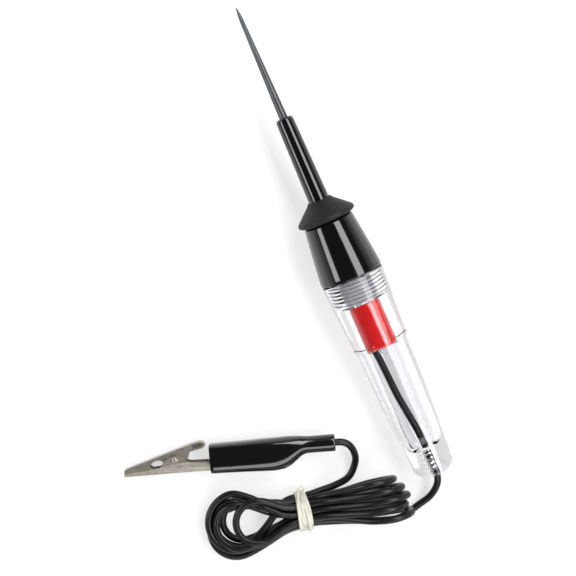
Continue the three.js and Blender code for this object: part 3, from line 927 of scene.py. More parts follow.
def settled(line, rounds=400):
    """Lets the strands push each other apart, on the floor, at the lead's own length and bends.
    What the tie holds and the lead's two ends stay where they are."""
    line = line.copy()
    home = line.copy()
    count = len(line)
    thick = sizes().lead_diameter * 1.01
    along, across = np.array([HANK.inverted() @ Vector(point) for point in line]).T[:2]
    free = np.ones(count)
    free[(abs(along) < TIE_HOLDS[0]) & (abs(across) < TIE_HOLDS[1])] = 0
    free[:HELD_AT_HANDLE] = 0
    free[-HELD_AT_CLIP:] = 0
    rest = np.linalg.norm(np.diff(line, axis=0), axis=1)
    one, other = np.triu_indices(count, 4)
    for turn in range(rounds):
        if turn % 10 == 0:
            near = abs(line[one] - line[other]).max(1) < 1.6 * thick
            a, b = one[near], other[near]
            shares = np.maximum(free[a] + free[b], 1e-9)
            can_move = free[a] + free[b] > 0
        pull = 0.02 * (1 - 0.85 * turn / rounds)
        line += (home - line) * pull * free[:, None]
        for reach, share in ((1, 0.3), (2, 0.25), (3, 0.2)):
            drawn_bend = home[reach:-reach] - (home[:-2 * reach] + home[2 * reach:]) / 2
            middle = (line[:-2 * reach] + line[2 * reach:]) / 2 + drawn_bend
            line[reach:-reach] += (middle - line[reach:-reach]) * share * free[reach:-reach, None]
        for first in (0, 1, 0, 1):
            i = np.arange(first, count - 1, 2)
            apart = line[i + 1] - line[i]
            length = np.linalg.norm(apart, axis=1)
            both = free[i] + free[i + 1]
            change = np.where(both > 0, (length - rest[i]) / np.maximum(both, 1e-9) / length, 0)
            line[i] += change[:, None] * apart * free[i, None]
            line[i + 1] -= change[:, None] * apart * free[i + 1, None]
        for _ in range(3):
            apart = line[a] - line[b]
            length = np.maximum(np.linalg.norm(apart, axis=1), 1e-9)
            push = np.where((length < thick) & can_move, 0.45 * (thick - length) / shares / length, 0)
            np.add.at(line, a, apart * (push * free[a])[:, None])
            np.add.at(line, b, -apart * (push * free[b])[:, None])
        on_floor = np.maximum(line[:, 2], thick / 2)
        line[:, 2] = np.where(free > 0, on_floor, line[:, 2])
    return line


# ---------------------------------------------------------------- folded sheet


def prism(outline, half_width, round_edges=0.0, fold=None):
    """A solid of an outline in x and y, with the rims of the folded stretch rounded."""
    shape = bmesh.new()
    low = [shape.verts.new((x, y, -half_width)) for x, y in outline]
    high = [shape.verts.new((x, y, half_width)) for x, y in outline]
    count = len(outline)
    shape.faces.new(low[::-1])
    shape.faces.new(high)
    for i in range(count):
        ahead = (i + 1) % count
        shape.faces.new((low[i], low[ahead], high[ahead], high[i]))
    if fold is not None:
        rims = []
        for side in (low, high):
            for i in range(count):
                edge = shape.edges.get((side[i], side[(i + 1) % count]))
                middle = (side[i].co + side[(i + 1) % count].co) / 2
                if fold(middle.x, middle.y):
                    rims.append(edge)
        bmesh.ops.bevel(shape, geom=rims, offset=round_edges, segments=4, profile=0.5,
                        affect="EDGES", clamp_overlap=True)
    bmesh.ops.recalc_face_normals(shape, faces=shape.faces)
    mesh = bpy.data.meshes.new("prism")
    shape.to_mesh(mesh)
    shape.free()
    return object_of("prism", mesh)


def cylinder_between(radius, low, high, sides=32):
    """A cutter for a round hole across the clip."""
    ring = [(radius * math.cos(math.tau * j / sides), radius * math.sin(math.tau * j / sides))
            for j in range(sides)]
    cutter = prism(ring, (high - low) / 2)
    cutter.data.transform(Matrix.Translation((0, 0, (high + low) / 2)))
    return cutter


def narrowing(x):
    """The clip's width at a distance from its pivot: it narrows to its jaws and into its boot."""
    if x < -4:
        return 1 + (0.67 - 1) * (-4 - x) / 18.3
    if x > 6:
        return 1 + (0.85 - 1) * min(1, (x - 6) / 7)
    return 1.0


def pressed(name, body, cutters, place):
    """A jaw pressed from sheet: a body less its cutters, with its raw edges just rounded."""
    for cutter in cutters:
        cut = body.modifiers.new("cut", "BOOLEAN")
        cut.operation = "DIFFERENCE"
        cut.solver = "EXACT"
        cut.object = cutter
    edges = body.modifiers.new("edges", "BEVEL")
    edges.width = sizes().edge_rounding / MM
    edges.segments = 2
    edges.limit_method = "ANGLE"
    edges.angle_limit = math.radians(30)
    edges.harden_normals = False
    bpy.context.view_layer.update()
    evaluated = body.evaluated_get(bpy.context.evaluated_depsgraph_get())
    mesh = bpy.data.meshes.new_from_object(evaluated)
    for piece in (body, *cutters):
        bpy.data.objects.remove(piece)
    shape = bmesh.new()
    shape.from_mesh(mesh)
    for corner in shape.verts:
        corner.co.z *= narrowing(corner.co.x)
    bmesh.ops.triangulate(shape, faces=[face for face in shape.faces if len(face.verts) > 4])
    bmesh.ops.transform(shape, matrix=place, verts=shape.verts)
    bmesh.ops.recalc_face_normals(shape, faces=shape.faces)
    shape.to_mesh(mesh)
    shape.free()
    mesh.name = name
    piece = object_of(name, smoothed(mesh, 28))
    across = place.col[2].to_3d().normalized()
    for face in mesh.polygons:
        face.use_smooth = abs(face.normal.dot(across)) < 0.985
    return piece


def saw(start, end, count, depth):
    """Saw teeth between two points of a jaw's mouth."""
    points = []
    for i in range(count):
        near, half = i / count, (i + 0.5) / count
        x, y = (start[0] + (end[0] - start[0]) * near, start[1] + (end[1] - start[1]) * near)
        root = start[0] + (end[0] - start[0]) * half, start[1] + (end[1] - start[1]) * half
        points += [(x, y, 0.12), (root[0], root[1] + depth, 0.12)]
    return points


# ---------------------------------------------------------------- pieces of the tool


class TESTLIGHT_OT_needle(bpy.types.Operator):
    """Makes the probe's needle"""

    bl_idname = "testlight.needle"
    bl_label = "Probe needle"

    def execute(self, context):
        profile = filleted([
            (0.0, 0.0), (0.12, 0.16, 0.1), (4.0, 0.85, 1.5), (SLEEVE_FRONT, NEEDLE_RADIUS, 3.0),
            (112.6, NEEDLE_RADIUS, 0.1), (112.6, 1.5), (118.0, 1.5, 0.1), (118.4, 1.1), (118.4, 0.0),
        ])
        needle = turned("needle", profile, TOOL)
        finished(needle, probe_steel(), "nose", ["probe_needle"])
        return {"FINISHED"}


class TESTLIGHT_OT_insulator(bpy.types.Operator):
    """Makes the insulating sleeve on the needle"""

    bl_idname = "testlight.insulator"
    bl_label = "Needle insulator"

    def execute(self, context):
        bore = NEEDLE_RADIUS + 0.08
        profile = filleted([
            (SLEEVE_FRONT + 0.4, bore), (SLEEVE_FRONT + 0.05, bore + 0.3, 0.2),
            (SLEEVE_FRONT, 2.7), (49.42, 3.12), (49.75, 3.47), (50.25, 3.72), (50.9, 3.84),
            (60.0, 4.02, 6.0), (FLANGE_FRONT, INSULATOR_RADIUS, 2.0),
            (101.0, INSULATOR_RADIUS), (101.0, bore),
        ], looped=True)
        insulator = turned("insulator", profile, TOOL, looped=True)
        finished(insulator, gloss_black(), "nose", ["probe_insulator"])
        return {"FINISHED"}


class TESTLIGHT_OT_flange(bpy.types.Operator):
    """Makes the soft flange round the insulator"""

    bl_idname = "testlight.flange"
    bl_label = "Nose flange"

    def execute(self, context):
        bore = INSULATOR_RADIUS + 0.05
        profile = filleted([
            (FLANGE_FRONT - 0.2, bore), (FLANGE_FRONT - 0.2, bore + 0.45, 0.3),
            (87.6, 5.9, 1.2), (89.9, 8.6, 2.0), (93.3, 12.35, 0.8), (93.9, 12.6, 0.35),
            (94.8, 12.6, 0.3), (FLANGE_BACK, 11.3, 0.25), (FLANGE_BACK, bore),
        ], looped=True)
        flange = turned("flange", profile, TOOL, looped=True)
        finished(flange, matt_black(), "nose", ["nose_flange"])
        return {"FINISHED"}


class TESTLIGHT_OT_nose(bpy.types.Operator):
    """Makes the nose cone and the pale threaded insert in its back"""

    bl_idname = "testlight.nose"
    bl_label = "Nose cone and insert"

    def execute(self, context):
        bore = INSULATOR_RADIUS + 0.3
        profile = filleted([
            (101.3, 2.15), (101.3, bore), (NOSE_FRONT, bore), (NOSE_FRONT, 9.9, 0.25),
            (96.4, 10.75, 0.5), (108.0, 12.3, 5.0), (117.0, 13.35, 3.0), (119.8, 13.62, 1.0),
            (121.0, NOSE_RADIUS, 0.4), (NOSE_RIM, 13.25, 0.3), (NOSE_RIM, SPIGOT_BORE),
            (113.0, SPIGOT_BORE), (113.0, 2.15), (101.3, 2.15),
        ])
        nose = turned("nose", profile, TOOL)
        finished(nose, gloss_black(), "nose", ["nose_cone"])
        root = NOSE_RIM + 0.02
        thread = (121.9, 132.35, SPIGOT_RADIUS, SPIGOT_CREST, 0.0)
        after = [(132.5, SPIGOT_RADIUS), (SPIGOT_END, 6.25), (SPIGOT_END, SPIGOT_BORE),
                 (root, SPIGOT_BORE), (root, SPIGOT_RADIUS)]
        spigot = threaded("nose_spigot", [(root, SPIGOT_RADIUS)], thread, after, TOOL)
        finished(spigot, pale_plastic(), "nose")
        return {"FINISHED"}


class TESTLIGHT_OT_fasteners(bpy.types.Operator):
    """Makes the washer and the nut that hold the needle in the nose"""

    bl_idname = "testlight.fasteners"
    bl_label = "Washer and nut"

    def execute(self, context):
        profile = filleted([
            (113.3, 1.75), (113.3, 4.6, 0.12), (113.9, 4.6, 0.12), (113.9, 1.75)], looped=True)
        washer = turned("washer", profile, TOOL, looped=True)
        finished(washer, brass(), "nose", ["probe_washer"])
        hexagon = [(3.6 * math.cos(math.tau * i / 6), 3.6 * math.sin(math.tau * i / 6), 0.35)
                   for i in range(6)]
        body = prism(filleted(hexagon, looped=True), 1.4)
        hole = cylinder_between(1.6, -3, 3)
        place = TOOL @ Matrix.Translation((-115.6, 0, 0)) @ ALONG_TOOL
        nut = pressed("nut", body, [hole], place)
        finished(nut, nickel_turned(), "nose", ["probe_nut"])
        return {"FINISHED"}


class TESTLIGHT_OT_contact(bpy.types.Operator):
    """Makes the spring and the button that press on the lamp"""

    bl_idname = "testlight.contact"
    bl_label = "Spring contact"

    def execute(self, context):
        place = TOOL @ Matrix.Translation((-133.1, 0, 0)) @ ALONG_TOOL
        turns = sizes().spring_turns
        settings = {"Turns": turns, "Coil radius": 3.2, "Height": 15.35,
                    "Steps": int(40 * turns), "Radius": 0.42, "Sides": 12,
                    "Material": spring_steel()}
        spring = grown("nose_spring", coil_tree(), bpy.data.meshes.new("start"), settings, place)
        finished(spring, None, "contact", ["contact_spring"])
        profile = filleted([
            (133.85, 0.0), (133.85, 4.6, 0.2), (134.45, 4.6, 0.2), (134.45, 2.4, 0.2),
            (134.8, 1.6, 0.3), (134.8, 0.0)])
        button = turned("button", profile, TOOL)
        finished(button, brass(), "contact", ["contact_button"])
        return {"FINISHED"}


class TESTLIGHT_OT_handle(bpy.types.Operator):
    """Makes the clear handle with its inside thread, and a dark coil of painted shade in the thread's root
    """

    bl_idname = "testlight.handle"
    bl_label = "Clear handle"

    def execute(self, context):
        thread = (122.4, 132.4, THREAD_ROOT, THREAD_CREST, THREAD_PITCH / 2)
        grips = []
        for ring in range(GRIP_COUNT):
            front = GRIP_FRONT + GRIP_PITCH * ring
            grips += [(front, LEAD_BORE), (front + GRIP_WIDTH / 2, LEAD_BORE + GRIP_DEPTH),
                      (front + GRIP_WIDTH, LEAD_BORE)]
        after = filleted([
            (132.6, THREAD_ROOT), (133.3, SLEEVE_BORE, 0.3), (SLEEVE_STOP, SLEEVE_BORE, 0.1),
            (SLEEVE_STOP, CAVITY_RADIUS, 0.2), (196.0, 6.1, 4.0),
            (199.4, 5.75), (201.1, 5.2), (202.3, 4.3), (202.85, 3.3), (CAVITY_END, 2.3),
            (CAVITY_END + 0.4, LEAD_BORE), *grips,
            (214.2, LEAD_BORE, 0.3), (TOOL_LENGTH, 2.6, 0.3), (TOOL_LENGTH, 4.4), (214.75, 5.7),
            (214.1, 6.9), (213.1, 7.9), (211.8, 8.6), (210.2, 9.0), (201.0, 9.45, 4.0),
            (190.0, 10.1, 4.0), (179.0, 10.7, 4.0), (166.0, 11.0, 4.0),
            (COLLAR_END + 0.35, BARREL_RADIUS, 0.25), (COLLAR_END, 11.9, 0.3),
            (122.1, 13.58, 0.35), (HANDLE_FRONT, 13.1, 0.3), (HANDLE_FRONT, 8.3, 0.25),
            (122.1, THREAD_ROOT),
        ], steps=6)
        handle = threaded("handle_shell", [(122.1, THREAD_ROOT)], thread, after, TOOL)
        finished(handle, clear_plastic(), "handle", ["clear_handle"])
        # painted shade: a dark coil laid in the thread's root
        self.winding(122.9, 6)
        return {"FINISHED"}

    @staticmethod
    def winding(front, turns):
        """A thin dark coil of painted shade in the thread's root, from a station back by some turns; it
        stands for the shade that the clear thread shows.
        """
        length = turns * THREAD_PITCH
        settings = {"Turns": float(turns), "Coil radius": THREAD_ROOT, "Height": length,
                    "Steps": 60 * turns, "Radius": 0.13, "Sides": 6, "Material": matt_black()}
        place = TOOL @ Matrix.Translation((-front - length, 0, 0)) @ ALONG_TOOL
        # this dark coil is painted shade, not a part of the handle
        winding = grown("painted_thread_shade", coil_tree(), bpy.data.meshes.new("start"), settings, place)
        finished(winding, None, "handle")


class TESTLIGHT_OT_sleeve(bpy.types.Operator):
    """Makes the coloured sleeve round the lamp"""

    bl_idname = "testlight.sleeve"
    bl_label = "Coloured sleeve"

    def execute(self, context):
        inside = SLEEVE_RADIUS - 0.9
        profile = filleted([
            (133.6, inside, 0.15), (133.6, SLEEVE_RADIUS, 0.25),
            (153.9, SLEEVE_RADIUS, 0.25), (153.9, inside, 0.15)], looped=True)
        sleeve = turned("red_sleeve", profile, TOOL, looped=True)
        finished(sleeve, red_plastic(), "handle", ["lens_sleeve"])
        return {"FINISHED"}


class TESTLIGHT_OT_lamp_holder(bpy.types.Operator):
    """Makes the lamp's socket with its lug, the lamp's base and its contact"""

    bl_idname = "testlight.lamp_holder"
    bl_label = "Lamp socket and base"

    def execute(self, context):
        profile = filleted([
            (136.3, 3.75), (136.3, 5.1, 0.2), (136.9, 5.1, 0.2), (136.9, 4.35, 0.3),
            (144.2, 4.35, 0.5), (144.2, 2.6, 0.2), (143.7, 2.6, 0.1), (143.7, 3.75, 0.2),
        ], looped=True)
        barrel = turned("lamp_holder", profile, TOOL, looped=True, off_axis=LAMP_OFFSET)
        lug = prism(filleted([(-148.1, -1.2, 1.1), (-148.1, 1.2, 1.1), (-143.1, 1.2), (-143.1, -1.2)],
                             looped=True), 0.3)
        turn = Matrix.Translation((0, 3.45, 0)) @ Matrix.Rotation(math.radians(90), 4, "X")
        lug.data.transform(TOOL @ turn)
        shape = bmesh.new()
        shape.from_mesh(barrel.data)
        shape.from_mesh(lug.data)
        shape.to_mesh(barrel.data)
        shape.free()
        bpy.data.objects.remove(lug)
        smoothed(barrel.data)
        finished(barrel, brass(), "handle", ["lamp_socket"])
        profile = filleted([
            (136.4, 1.9), (136.4, 3.1, 0.2), (136.9, 3.45, 0.3), (139.0, 3.45, 0.2),
            (139.2, 3.25, 0.2), (139.5, 3.25, 0.2), (139.7, 3.45, 0.2), (142.9, 3.45, 0.4),
            (142.9, 1.9)], looped=True)
        base = turned("lamp_base", profile, TOOL, looped=True, off_axis=LAMP_OFFSET)
        finished(base, nickel_turned(), "handle", ["bulb_base"])
        profile = filleted([
            (135.1, 0.0), (135.2, 0.9, 0.3), (135.9, 1.5, 0.3), (138.5, 1.5), (138.5, 0.0)])
        contact = turned("lamp_contact", profile, TOOL, off_axis=LAMP_OFFSET)
        finished(contact, solder(), "handle", ["bulb_contact"])
        return {"FINISHED"}


class TESTLIGHT_OT_lamp(bpy.types.Operator):
    """Makes the lamp's glass and its filament"""

    bl_idname = "testlight.lamp"
    bl_label = "Lamp glass and filament"

    def execute(self, context):
        wall = 0.45
        outer, inner = [], []
        for degrees in range(0, 91, 10):
            angle = math.radians(degrees)
            reach = 1 - math.sin(angle)
            outer.append((158.2 - LAMP_RADIUS * reach, LAMP_RADIUS * math.cos(angle)))
            bore = LAMP_RADIUS - wall
            inner.append((158.2 - wall - bore * reach, bore * math.cos(angle)))
        profile = [*inner[::-1], (143.4, LAMP_RADIUS - wall), (143.4, LAMP_RADIUS), *outer]
        glass = turned("lamp_glass_bulb", profile, TOOL, off_axis=LAMP_OFFSET)
        finished(glass, lamp_glass(), "handle", ["bulb_glass"])
        legs = []
        for side in (-1, 1):
            leg = [(-139.5, LAMP_OFFSET, 0.8 * side), (-145, LAMP_OFFSET, 0.85 * side),
                   (-150.6, LAMP_OFFSET, 0.95 * side)]
            legs.append(placed(leg, TOOL))
        wire = []
        for i in range(161):
            share = i / 160
            angle = math.tau * 14 * share
            wire.append((-150.6 - 0.7 * math.sin(math.pi * share) + 0.17 * math.cos(angle),
                         LAMP_OFFSET + 0.17 * math.sin(angle), 0.95 * (1 - 2 * share)))
        lines = [*legs, placed(wire, TOOL)]
        filament = bars("filament", lines, 0.00007, spring_steel(), sides=8)
        finished(filament, None, "handle", ["bulb_filament"])
        return {"FINISHED"}


def twisted(path, count, offset, lay, step):
    """Strands laid round a path, one of them down its middle."""
    middle = smooth_line([np.array(point) for point in path], step)
    heading = np.gradient(middle, axis=0)
    heading /= np.linalg.norm(heading, axis=1)[:, None]
    side = np.cross(heading, (0, 0, 1))
    side /= np.linalg.norm(side, axis=1)[:, None]
    up = np.cross(side, heading)
    along = np.arange(len(middle)) * step
    lines = [middle]
    for i in range(count - 1):
        angle = math.tau * (along / lay + i / (count - 1))
        lines.append(middle + offset * (np.cos(angle)[:, None] * side + np.sin(angle)[:, None] * up))
    return lines


class TESTLIGHT_OT_joint(bpy.types.Operator):
    """Makes the soldered joint and the bare strands at the lead's inner end"""

    bl_idname = "testlight.joint"
    bl_label = "Soldered joint"

    def execute(self, context):
        shape = bmesh.new()
        bmesh.ops.create_icosphere(shape, subdivisions=4, radius=1)
        for corner in shape.verts:
            x, y, z = corner.co
            swell = 1 + 0.07 * math.sin(3 * x + 1) * math.cos(2.3 * z) + 0.05 * math.sin(4.1 * z + y)
            corner.co = Vector((1.3 * x * swell, 0.62 * y * (1 + 0.25 * z * z), 1.2 * z * swell))
        bmesh.ops.transform(
            shape, matrix=TOOL @ Matrix.Translation((-146.7, 4.7, 0)), verts=shape.verts)
        mesh = bpy.data.meshes.new("solder_bead")
        shape.to_mesh(mesh)
        shape.free()
        bead = object_of("solder_bead", smoothed(mesh))
        finished(bead, solder(), "handle", ["lead_solder"])
        path = placed([(-147.4, 4.5, 0), (-149.5, 4.2, 0), (-150.4, 4.1, 0), (-151.6, 4.0, 0)], TOOL)
        lines = twisted(path, 7, 0.4 * MM, 6 * MM, 0.2 * MM)
        strands = bars("inner_strands", lines, 0.2 * MM, copper(), sides=8)
        finished(strands, None, "handle", ["lead_strands"])
        return {"FINISHED"}


class TESTLIGHT_OT_inner_lead(bpy.types.Operator):
    """Makes the lead inside the handle"""

    bl_idname = "testlight.inner_lead"
    bl_label = "Lead in the handle"

    def execute(self, context):
        path = placed([
            (-150.8, 4.08, 0), (-154, 3.75, 0), (-160, 3.15, 0), (-168, 2.75, 0),
            (-176, 2.35, 0), (-184, 1.45, 0), (-191, 0.6, 0), (-197, 0.12, 0),
            (-202, 0, 0), (-210, 0, 0), (-214.9, 0, 0)], TOOL)
        line = smooth_line(path, 1.0 * MM)
        radius = sizes().lead_diameter / 2
        inner = bars("handle_lead", [line], radius, jacket(), sides=24)
        finished(inner, None, "handle", ["inner_lead"])
        return {"FINISHED"}


# ---------------------------------------------------------------- the lead and its tie


class TESTLIGHT_OT_lead(bpy.types.Operator):
    """Makes the lead: out of the handle, through the hank and into the clip's boot"""

    bl_idname = "testlight.lead"
    bl_label = "Lead"

    def execute(self, context):
        line = spaced(settled(drawn_lead()), 2.0 * MM)
        fine = smooth_line(list(line), 1.25 * MM)
        lead = bars("lead", [fine], sizes().lead_diameter / 2, jacket(), sides=14)
        lead["path"] = [float(number) for number in fine.ravel()]
        finished(lead, None, "handle", ["lead_to_hank", "lead_hank", "lead_to_clip"])
        return {"FINISHED"}


def round_tie(spread):
    """The line round the strands in the tie, at a distance from their outer centres."""
    foot, top = tie_slot(0, 4), tie_slot(2, 2)
    corners = [foot, top, (-top[0], top[1]), (-foot[0], foot[1])]
    points = []
    for i, corner in enumerate(corners):
        before = Vector(corner) - Vector(corners[i - 1])
        after = Vector(corners[(i + 1) % 4]) - Vector(corner)
        start = math.atan2(-before.x, before.y)
        sweep = (math.atan2(-after.x, after.y) - start) % math.tau
        for step in range(9):
            angle = start + sweep * step / 8
            points.append((corner[0] + spread * math.cos(angle), corner[1] + spread * math.sin(angle)))
    return spaced(np.array([(0, *point) for point in [*points, points[0]]]), 0.5)[:-1, 1:]


class TESTLIGHT_OT_tie(bpy.types.Operator):
    """Makes the rubber band wound round the hank"""

    bl_idname = "testlight.tie"
    bl_label = "Rubber tie"

    def execute(self, context):
        thick = sizes().band_diameter / MM
        spread = (sizes().lead_diameter / MM + thick) / 2
        turns, half_width, sway = 7, 2.5, 0.35
        low_wind, high_wind = round_tie(spread), round_tie(spread + 0.8 * thick)
        count = len(low_wind)
        points = []
        for turn in range(turns):
            for i in range(count):
                share = turn + i / count
                angle = math.tau * i / count
                along = half_width * (2 * share / turns - 1) + sway * math.sin(angle * 2 + 1.7 * turn)
                points.append((along, *low_wind[i]))
        # the crossing turn stops on the probe's side, where a small loop is left standing out
        side = int(np.argmin(low_wind[:, 0]))
        steps = count + side
        for i in range(steps):
            share = i / steps
            along = 2.7 - 4.6 * eased(share) + 0.5 * math.sin(math.tau * 1.3 * share)
            lift = eased(6 * share) * eased(6 * (1 - share))
            across, height = low_wind[i % count] * (1 - lift) + high_wind[i % count] * lift
            points.append((along, across, max(height, thick / 2)))
        points = points[::3]
        points += self.loop(points[-1])
        line = smooth_line(placed(points, HANK), 0.3 * MM)
        band = bars("tie_band", [line], thick / 2 * MM, rubber(), sides=12)
        finished(band, None, "handle", ["hank_band"])
        return {"FINISHED"}

    @staticmethod
    def loop(start):
        """A small loop that stands out across the hank and climbs a little."""
        steps, half_width, half_reach, climb = 10, 1.1, 1.15, 1.2
        along, across, height = start
        points = []
        for step in range(1, steps + 1):
            share = step / steps
            angle = math.tau * share
            points.append((along + half_width * math.sin(angle),
                           across - half_reach * (1 - math.cos(angle)), height + climb * share))
        return points


# ---------------------------------------------------------------- the clip


class TESTLIGHT_OT_jaws(bpy.types.Operator):
    """Makes the clip's two jaws"""

    bl_idname = "testlight.jaws"
    bl_label = "Clip jaws"

    def execute(self, context):
        hole = RIVET_RADIUS + 0.15
        mouth = saw((-22.2, -3.1), (-11, -2.0), 11, 0.42)[::-1]
        outline = filleted([
            (-22.3, -5.9), (30.0, -5.9),
            (30.0, -2.3, 0.5), (23.0, -1.95, 1.0), (5.6, -1.5, 1.6), (3.6, 0.75, 1.6),
            (0.9, 1.9, 1.6), (-0.9, 1.9, 1.6), (-3.6, 0.7, 1.6), (-5.8, -1.9, 1.2),
            (-6.6, -2.9, 0.5), (-9.9, -3.1, 0.5), *mouth,
        ], steps=4, looped=True)
        room = [(-21.4, -5.3), (31, -5.3), (31, 3), (-9, 3), (-21.4, -1.4)]
        body = prism(outline, CLIP_HALF_WIDTH, 1.3, fold=lambda x, y: y < -5.6)
        inside = prism(room, CLIP_HALF_WIDTH - SHEET, 0.75, fold=lambda x, y: y < -5.0)
        lower = pressed("lower_jaw", body, [inside, cylinder_between(hole, -9, 9)], CLIP)
        finished(lower, nickel(), "handle", ["clip_lower_jaw"])
        mouth = saw((-22.1, -4.15), (-11.2, -2.9), 9, 0.45)
        outline = filleted([
            *mouth, (-10.9, -1.5, 0.3), (-9.0, 0.0, 0.4), (-6.6, 0.4, 0.5), (-5.0, -0.7, 0.5),
            (-4.6, -1.6, 0.3), (0.0, -1.95, 0.8), (2.4, -1.5, 0.6), (5.2, -0.7, 0.8),
            (6.6, 3.0, 0.9), (12.4, 4.1, 0.6), (13.6, 4.9, 0.7), (13.3, 6.3, 0.8),
            (11.3, 7.15, 0.8), (6.2, 5.85, 1.5), (-20.3, -2.15, 0.6), (-22.0, -2.9, 0.3),
        ], steps=4, looped=True)
        room = filleted([
            (-20.0, -2.8), (6.3, 5.2, 1.0), (11.3, 6.5, 0.6), (13.0, 5.6, 0.5), (15, 4), (9, -8),
            (-21.2, -8), (-21.2, -3.1)], steps=4, looped=True)
        width = CLIP_HALF_WIDTH - SHEET - 0.3
        spine = self.above_line((-22.3, -3.2), (11, 6.9))
        body = prism(outline, width, 0.45, fold=spine)
        inside = prism(room, width - SHEET)
        curl = prism(filleted([
            (8.2, 4.15, 0.3), (11.9, 4.75, 0.4), (12.9, 5.35, 0.4), (12.5, 6.1, 0.4),
            (11.2, 6.45, 0.4), (8.0, 5.55, 0.3)], looped=True), CLIP_HALF_WIDTH)
        curl.data.transform(Matrix.Translation((0, 0, CLIP_HALF_WIDTH)))
        cutters = [inside, curl, cylinder_between(hole, -9, 9)]
        upper = pressed("upper_jaw", body, cutters, CLIP)
        finished(upper, nickel(), "clip_jaw", ["clip_upper_jaw"])
        return {"FINISHED"}

    @staticmethod
    def above_line(start, end):
        """A test for the rims that lie near a slanting line."""
        slope = (end[1] - start[1]) / (end[0] - start[0])
        return lambda x, y: y > start[1] + slope * (x - start[0]) - 0.35


class TESTLIGHT_OT_rivet(bpy.types.Operator):
    """Makes the rivet through the jaws, with staked heads"""

    bl_idname = "testlight.rivet"
    bl_label = "Clip rivet"

    def execute(self, context):
        out = CLIP_HALF_WIDTH
        head = [(0.0, out + 0.05), (0.3, out + 0.08, 0.05), (0.5, out + 0.5, 0.1),
                (0.95, out + 0.52, 0.2), (1.32, out + 0.2, 0.2), (1.3, out + 0.02, 0.1)]
        profile = filleted([
            *[(r, -h, *rest) for r, h, *rest in head], (RIVET_RADIUS, -out, 0.05),
            (RIVET_RADIUS, out, 0.05), *head[::-1]])
        sides = 48
        points = []
        for radius, height in profile:
            for j in range(sides):
                angle = math.tau * j / sides
                lobes = 1 + (0.11 * math.cos(3 * angle + 0.5) if radius > RIVET_RADIUS else 0)
                points.append((radius * lobes * math.cos(angle), radius * lobes * math.sin(angle), height))
        rivet = mesh_of("rivet", points, grid_faces(len(profile), sides, False), CLIP)
        finished(rivet, nickel(), "handle", ["clip_rivet"])
        return {"FINISHED"}


class TESTLIGHT_OT_clip_springs(bpy.types.Operator):
    """Makes the two halves of the clip's spring, each with its leg"""

    bl_idname = "testlight.clip_springs"
    bl_label = "Clip springs"

    def execute(self, context):
        lower = self.half([(3.4, -3.4, -1.2), (8, -4.6, -1), (11.5, -4.8, -0.8)])
        upper = self.half([(3.6, -3.2, -1.2), (7.5, -4.5, -1), (10.6, -5.5, -0.8)])
        upper = [(x, -y, -z) for x, y, z in upper]
        for name, points, body, node in (
                ("lower_spring", lower, "handle", "clip_spring_lower"),
                ("upper_spring", upper, "clip_jaw", "clip_spring_upper")):
            line = smooth_line(placed(points, CLIP), 0.2 * MM)
            spring = bars(name, [line], 0.3 * MM, spring_steel(), sides=12)
            finished(spring, None, body, [node])
        return {"FINISHED"}

    @staticmethod
    def half(leg):
        """One and a half turns about the rivet and then a straight leg."""
        steps = 42
        points = []
        for i in range(steps + 1):
            angle = math.pi / 2 + math.tau * 1.5 * i / steps
            height = -0.25 - 0.95 * i / steps
            points.append((2.45 * math.cos(angle), 2.45 * math.sin(angle), height))
        return [*points, *leg]


class TESTLIGHT_OT_clip_strands(bpy.types.Operator):
    """Makes the bare strands crimped into the clip"""

    bl_idname = "testlight.clip_strands"
    bl_label = "Strands in the clip"

    def execute(self, context):
        path = placed([(14, -4.1, 0), (20, -3.9, 0), (28.6, -3.1, 0)], CLIP)
        lines = twisted(path, 8, 0.43 * MM, 8 * MM, 0.25 * MM)
        strands = bars("clip_strand_ends", lines, 0.2 * MM, copper(), sides=8)
        finished(strands, None, "handle", ["clip_strands"])
        return {"FINISHED"}


BOOT_HOLLOW_END = 54
BOOT_END = 69.15
BOOT_NECK_MIDDLE = 1.37
# The boot's outline: distance from the pivot, middle in y, half height in y and in z, squareness.
BOOT_STATIONS = [
    (15.1, -1.03, 6.12, 4.95, 3.4), (15.3, -1.03, 6.32, 5.12, 3.4), (16.2, -1.05, 6.42, 5.22, 3.4),
    (18.0, -1.07, 6.42, 5.2, 3.4), (30.0, -1.2, 6.7, 5.42, 3.2), (38.0, -1.32, 7.0, 5.55, 2.95),
    (42.0, -1.38, 7.1, 5.6, 2.8), (45.0, -1.28, 7.03, 5.57, 2.6), (47.5, -1.0, 6.8, 5.45, 2.45),
    (50.0, -0.4, 6.2, 5.2, 2.3), (52.5, 0.45, 5.2, 4.75, 2.2), (54.5, 1.15, 4.35, 4.3, 2.1),
    (56.5, 1.4, 3.82, 3.9, 2.0), (59.0, 1.4, 3.7, 3.72, 2.0), (64.0, 1.38, 3.7, 3.7, 2.0),
    (68.6, BOOT_NECK_MIDDLE, 3.72, 3.72, 2.0), (69.0, BOOT_NECK_MIDDLE, 3.6, 3.6, 2.0),
    (BOOT_END, BOOT_NECK_MIDDLE, 3.3, 3.3, 2.0),
]


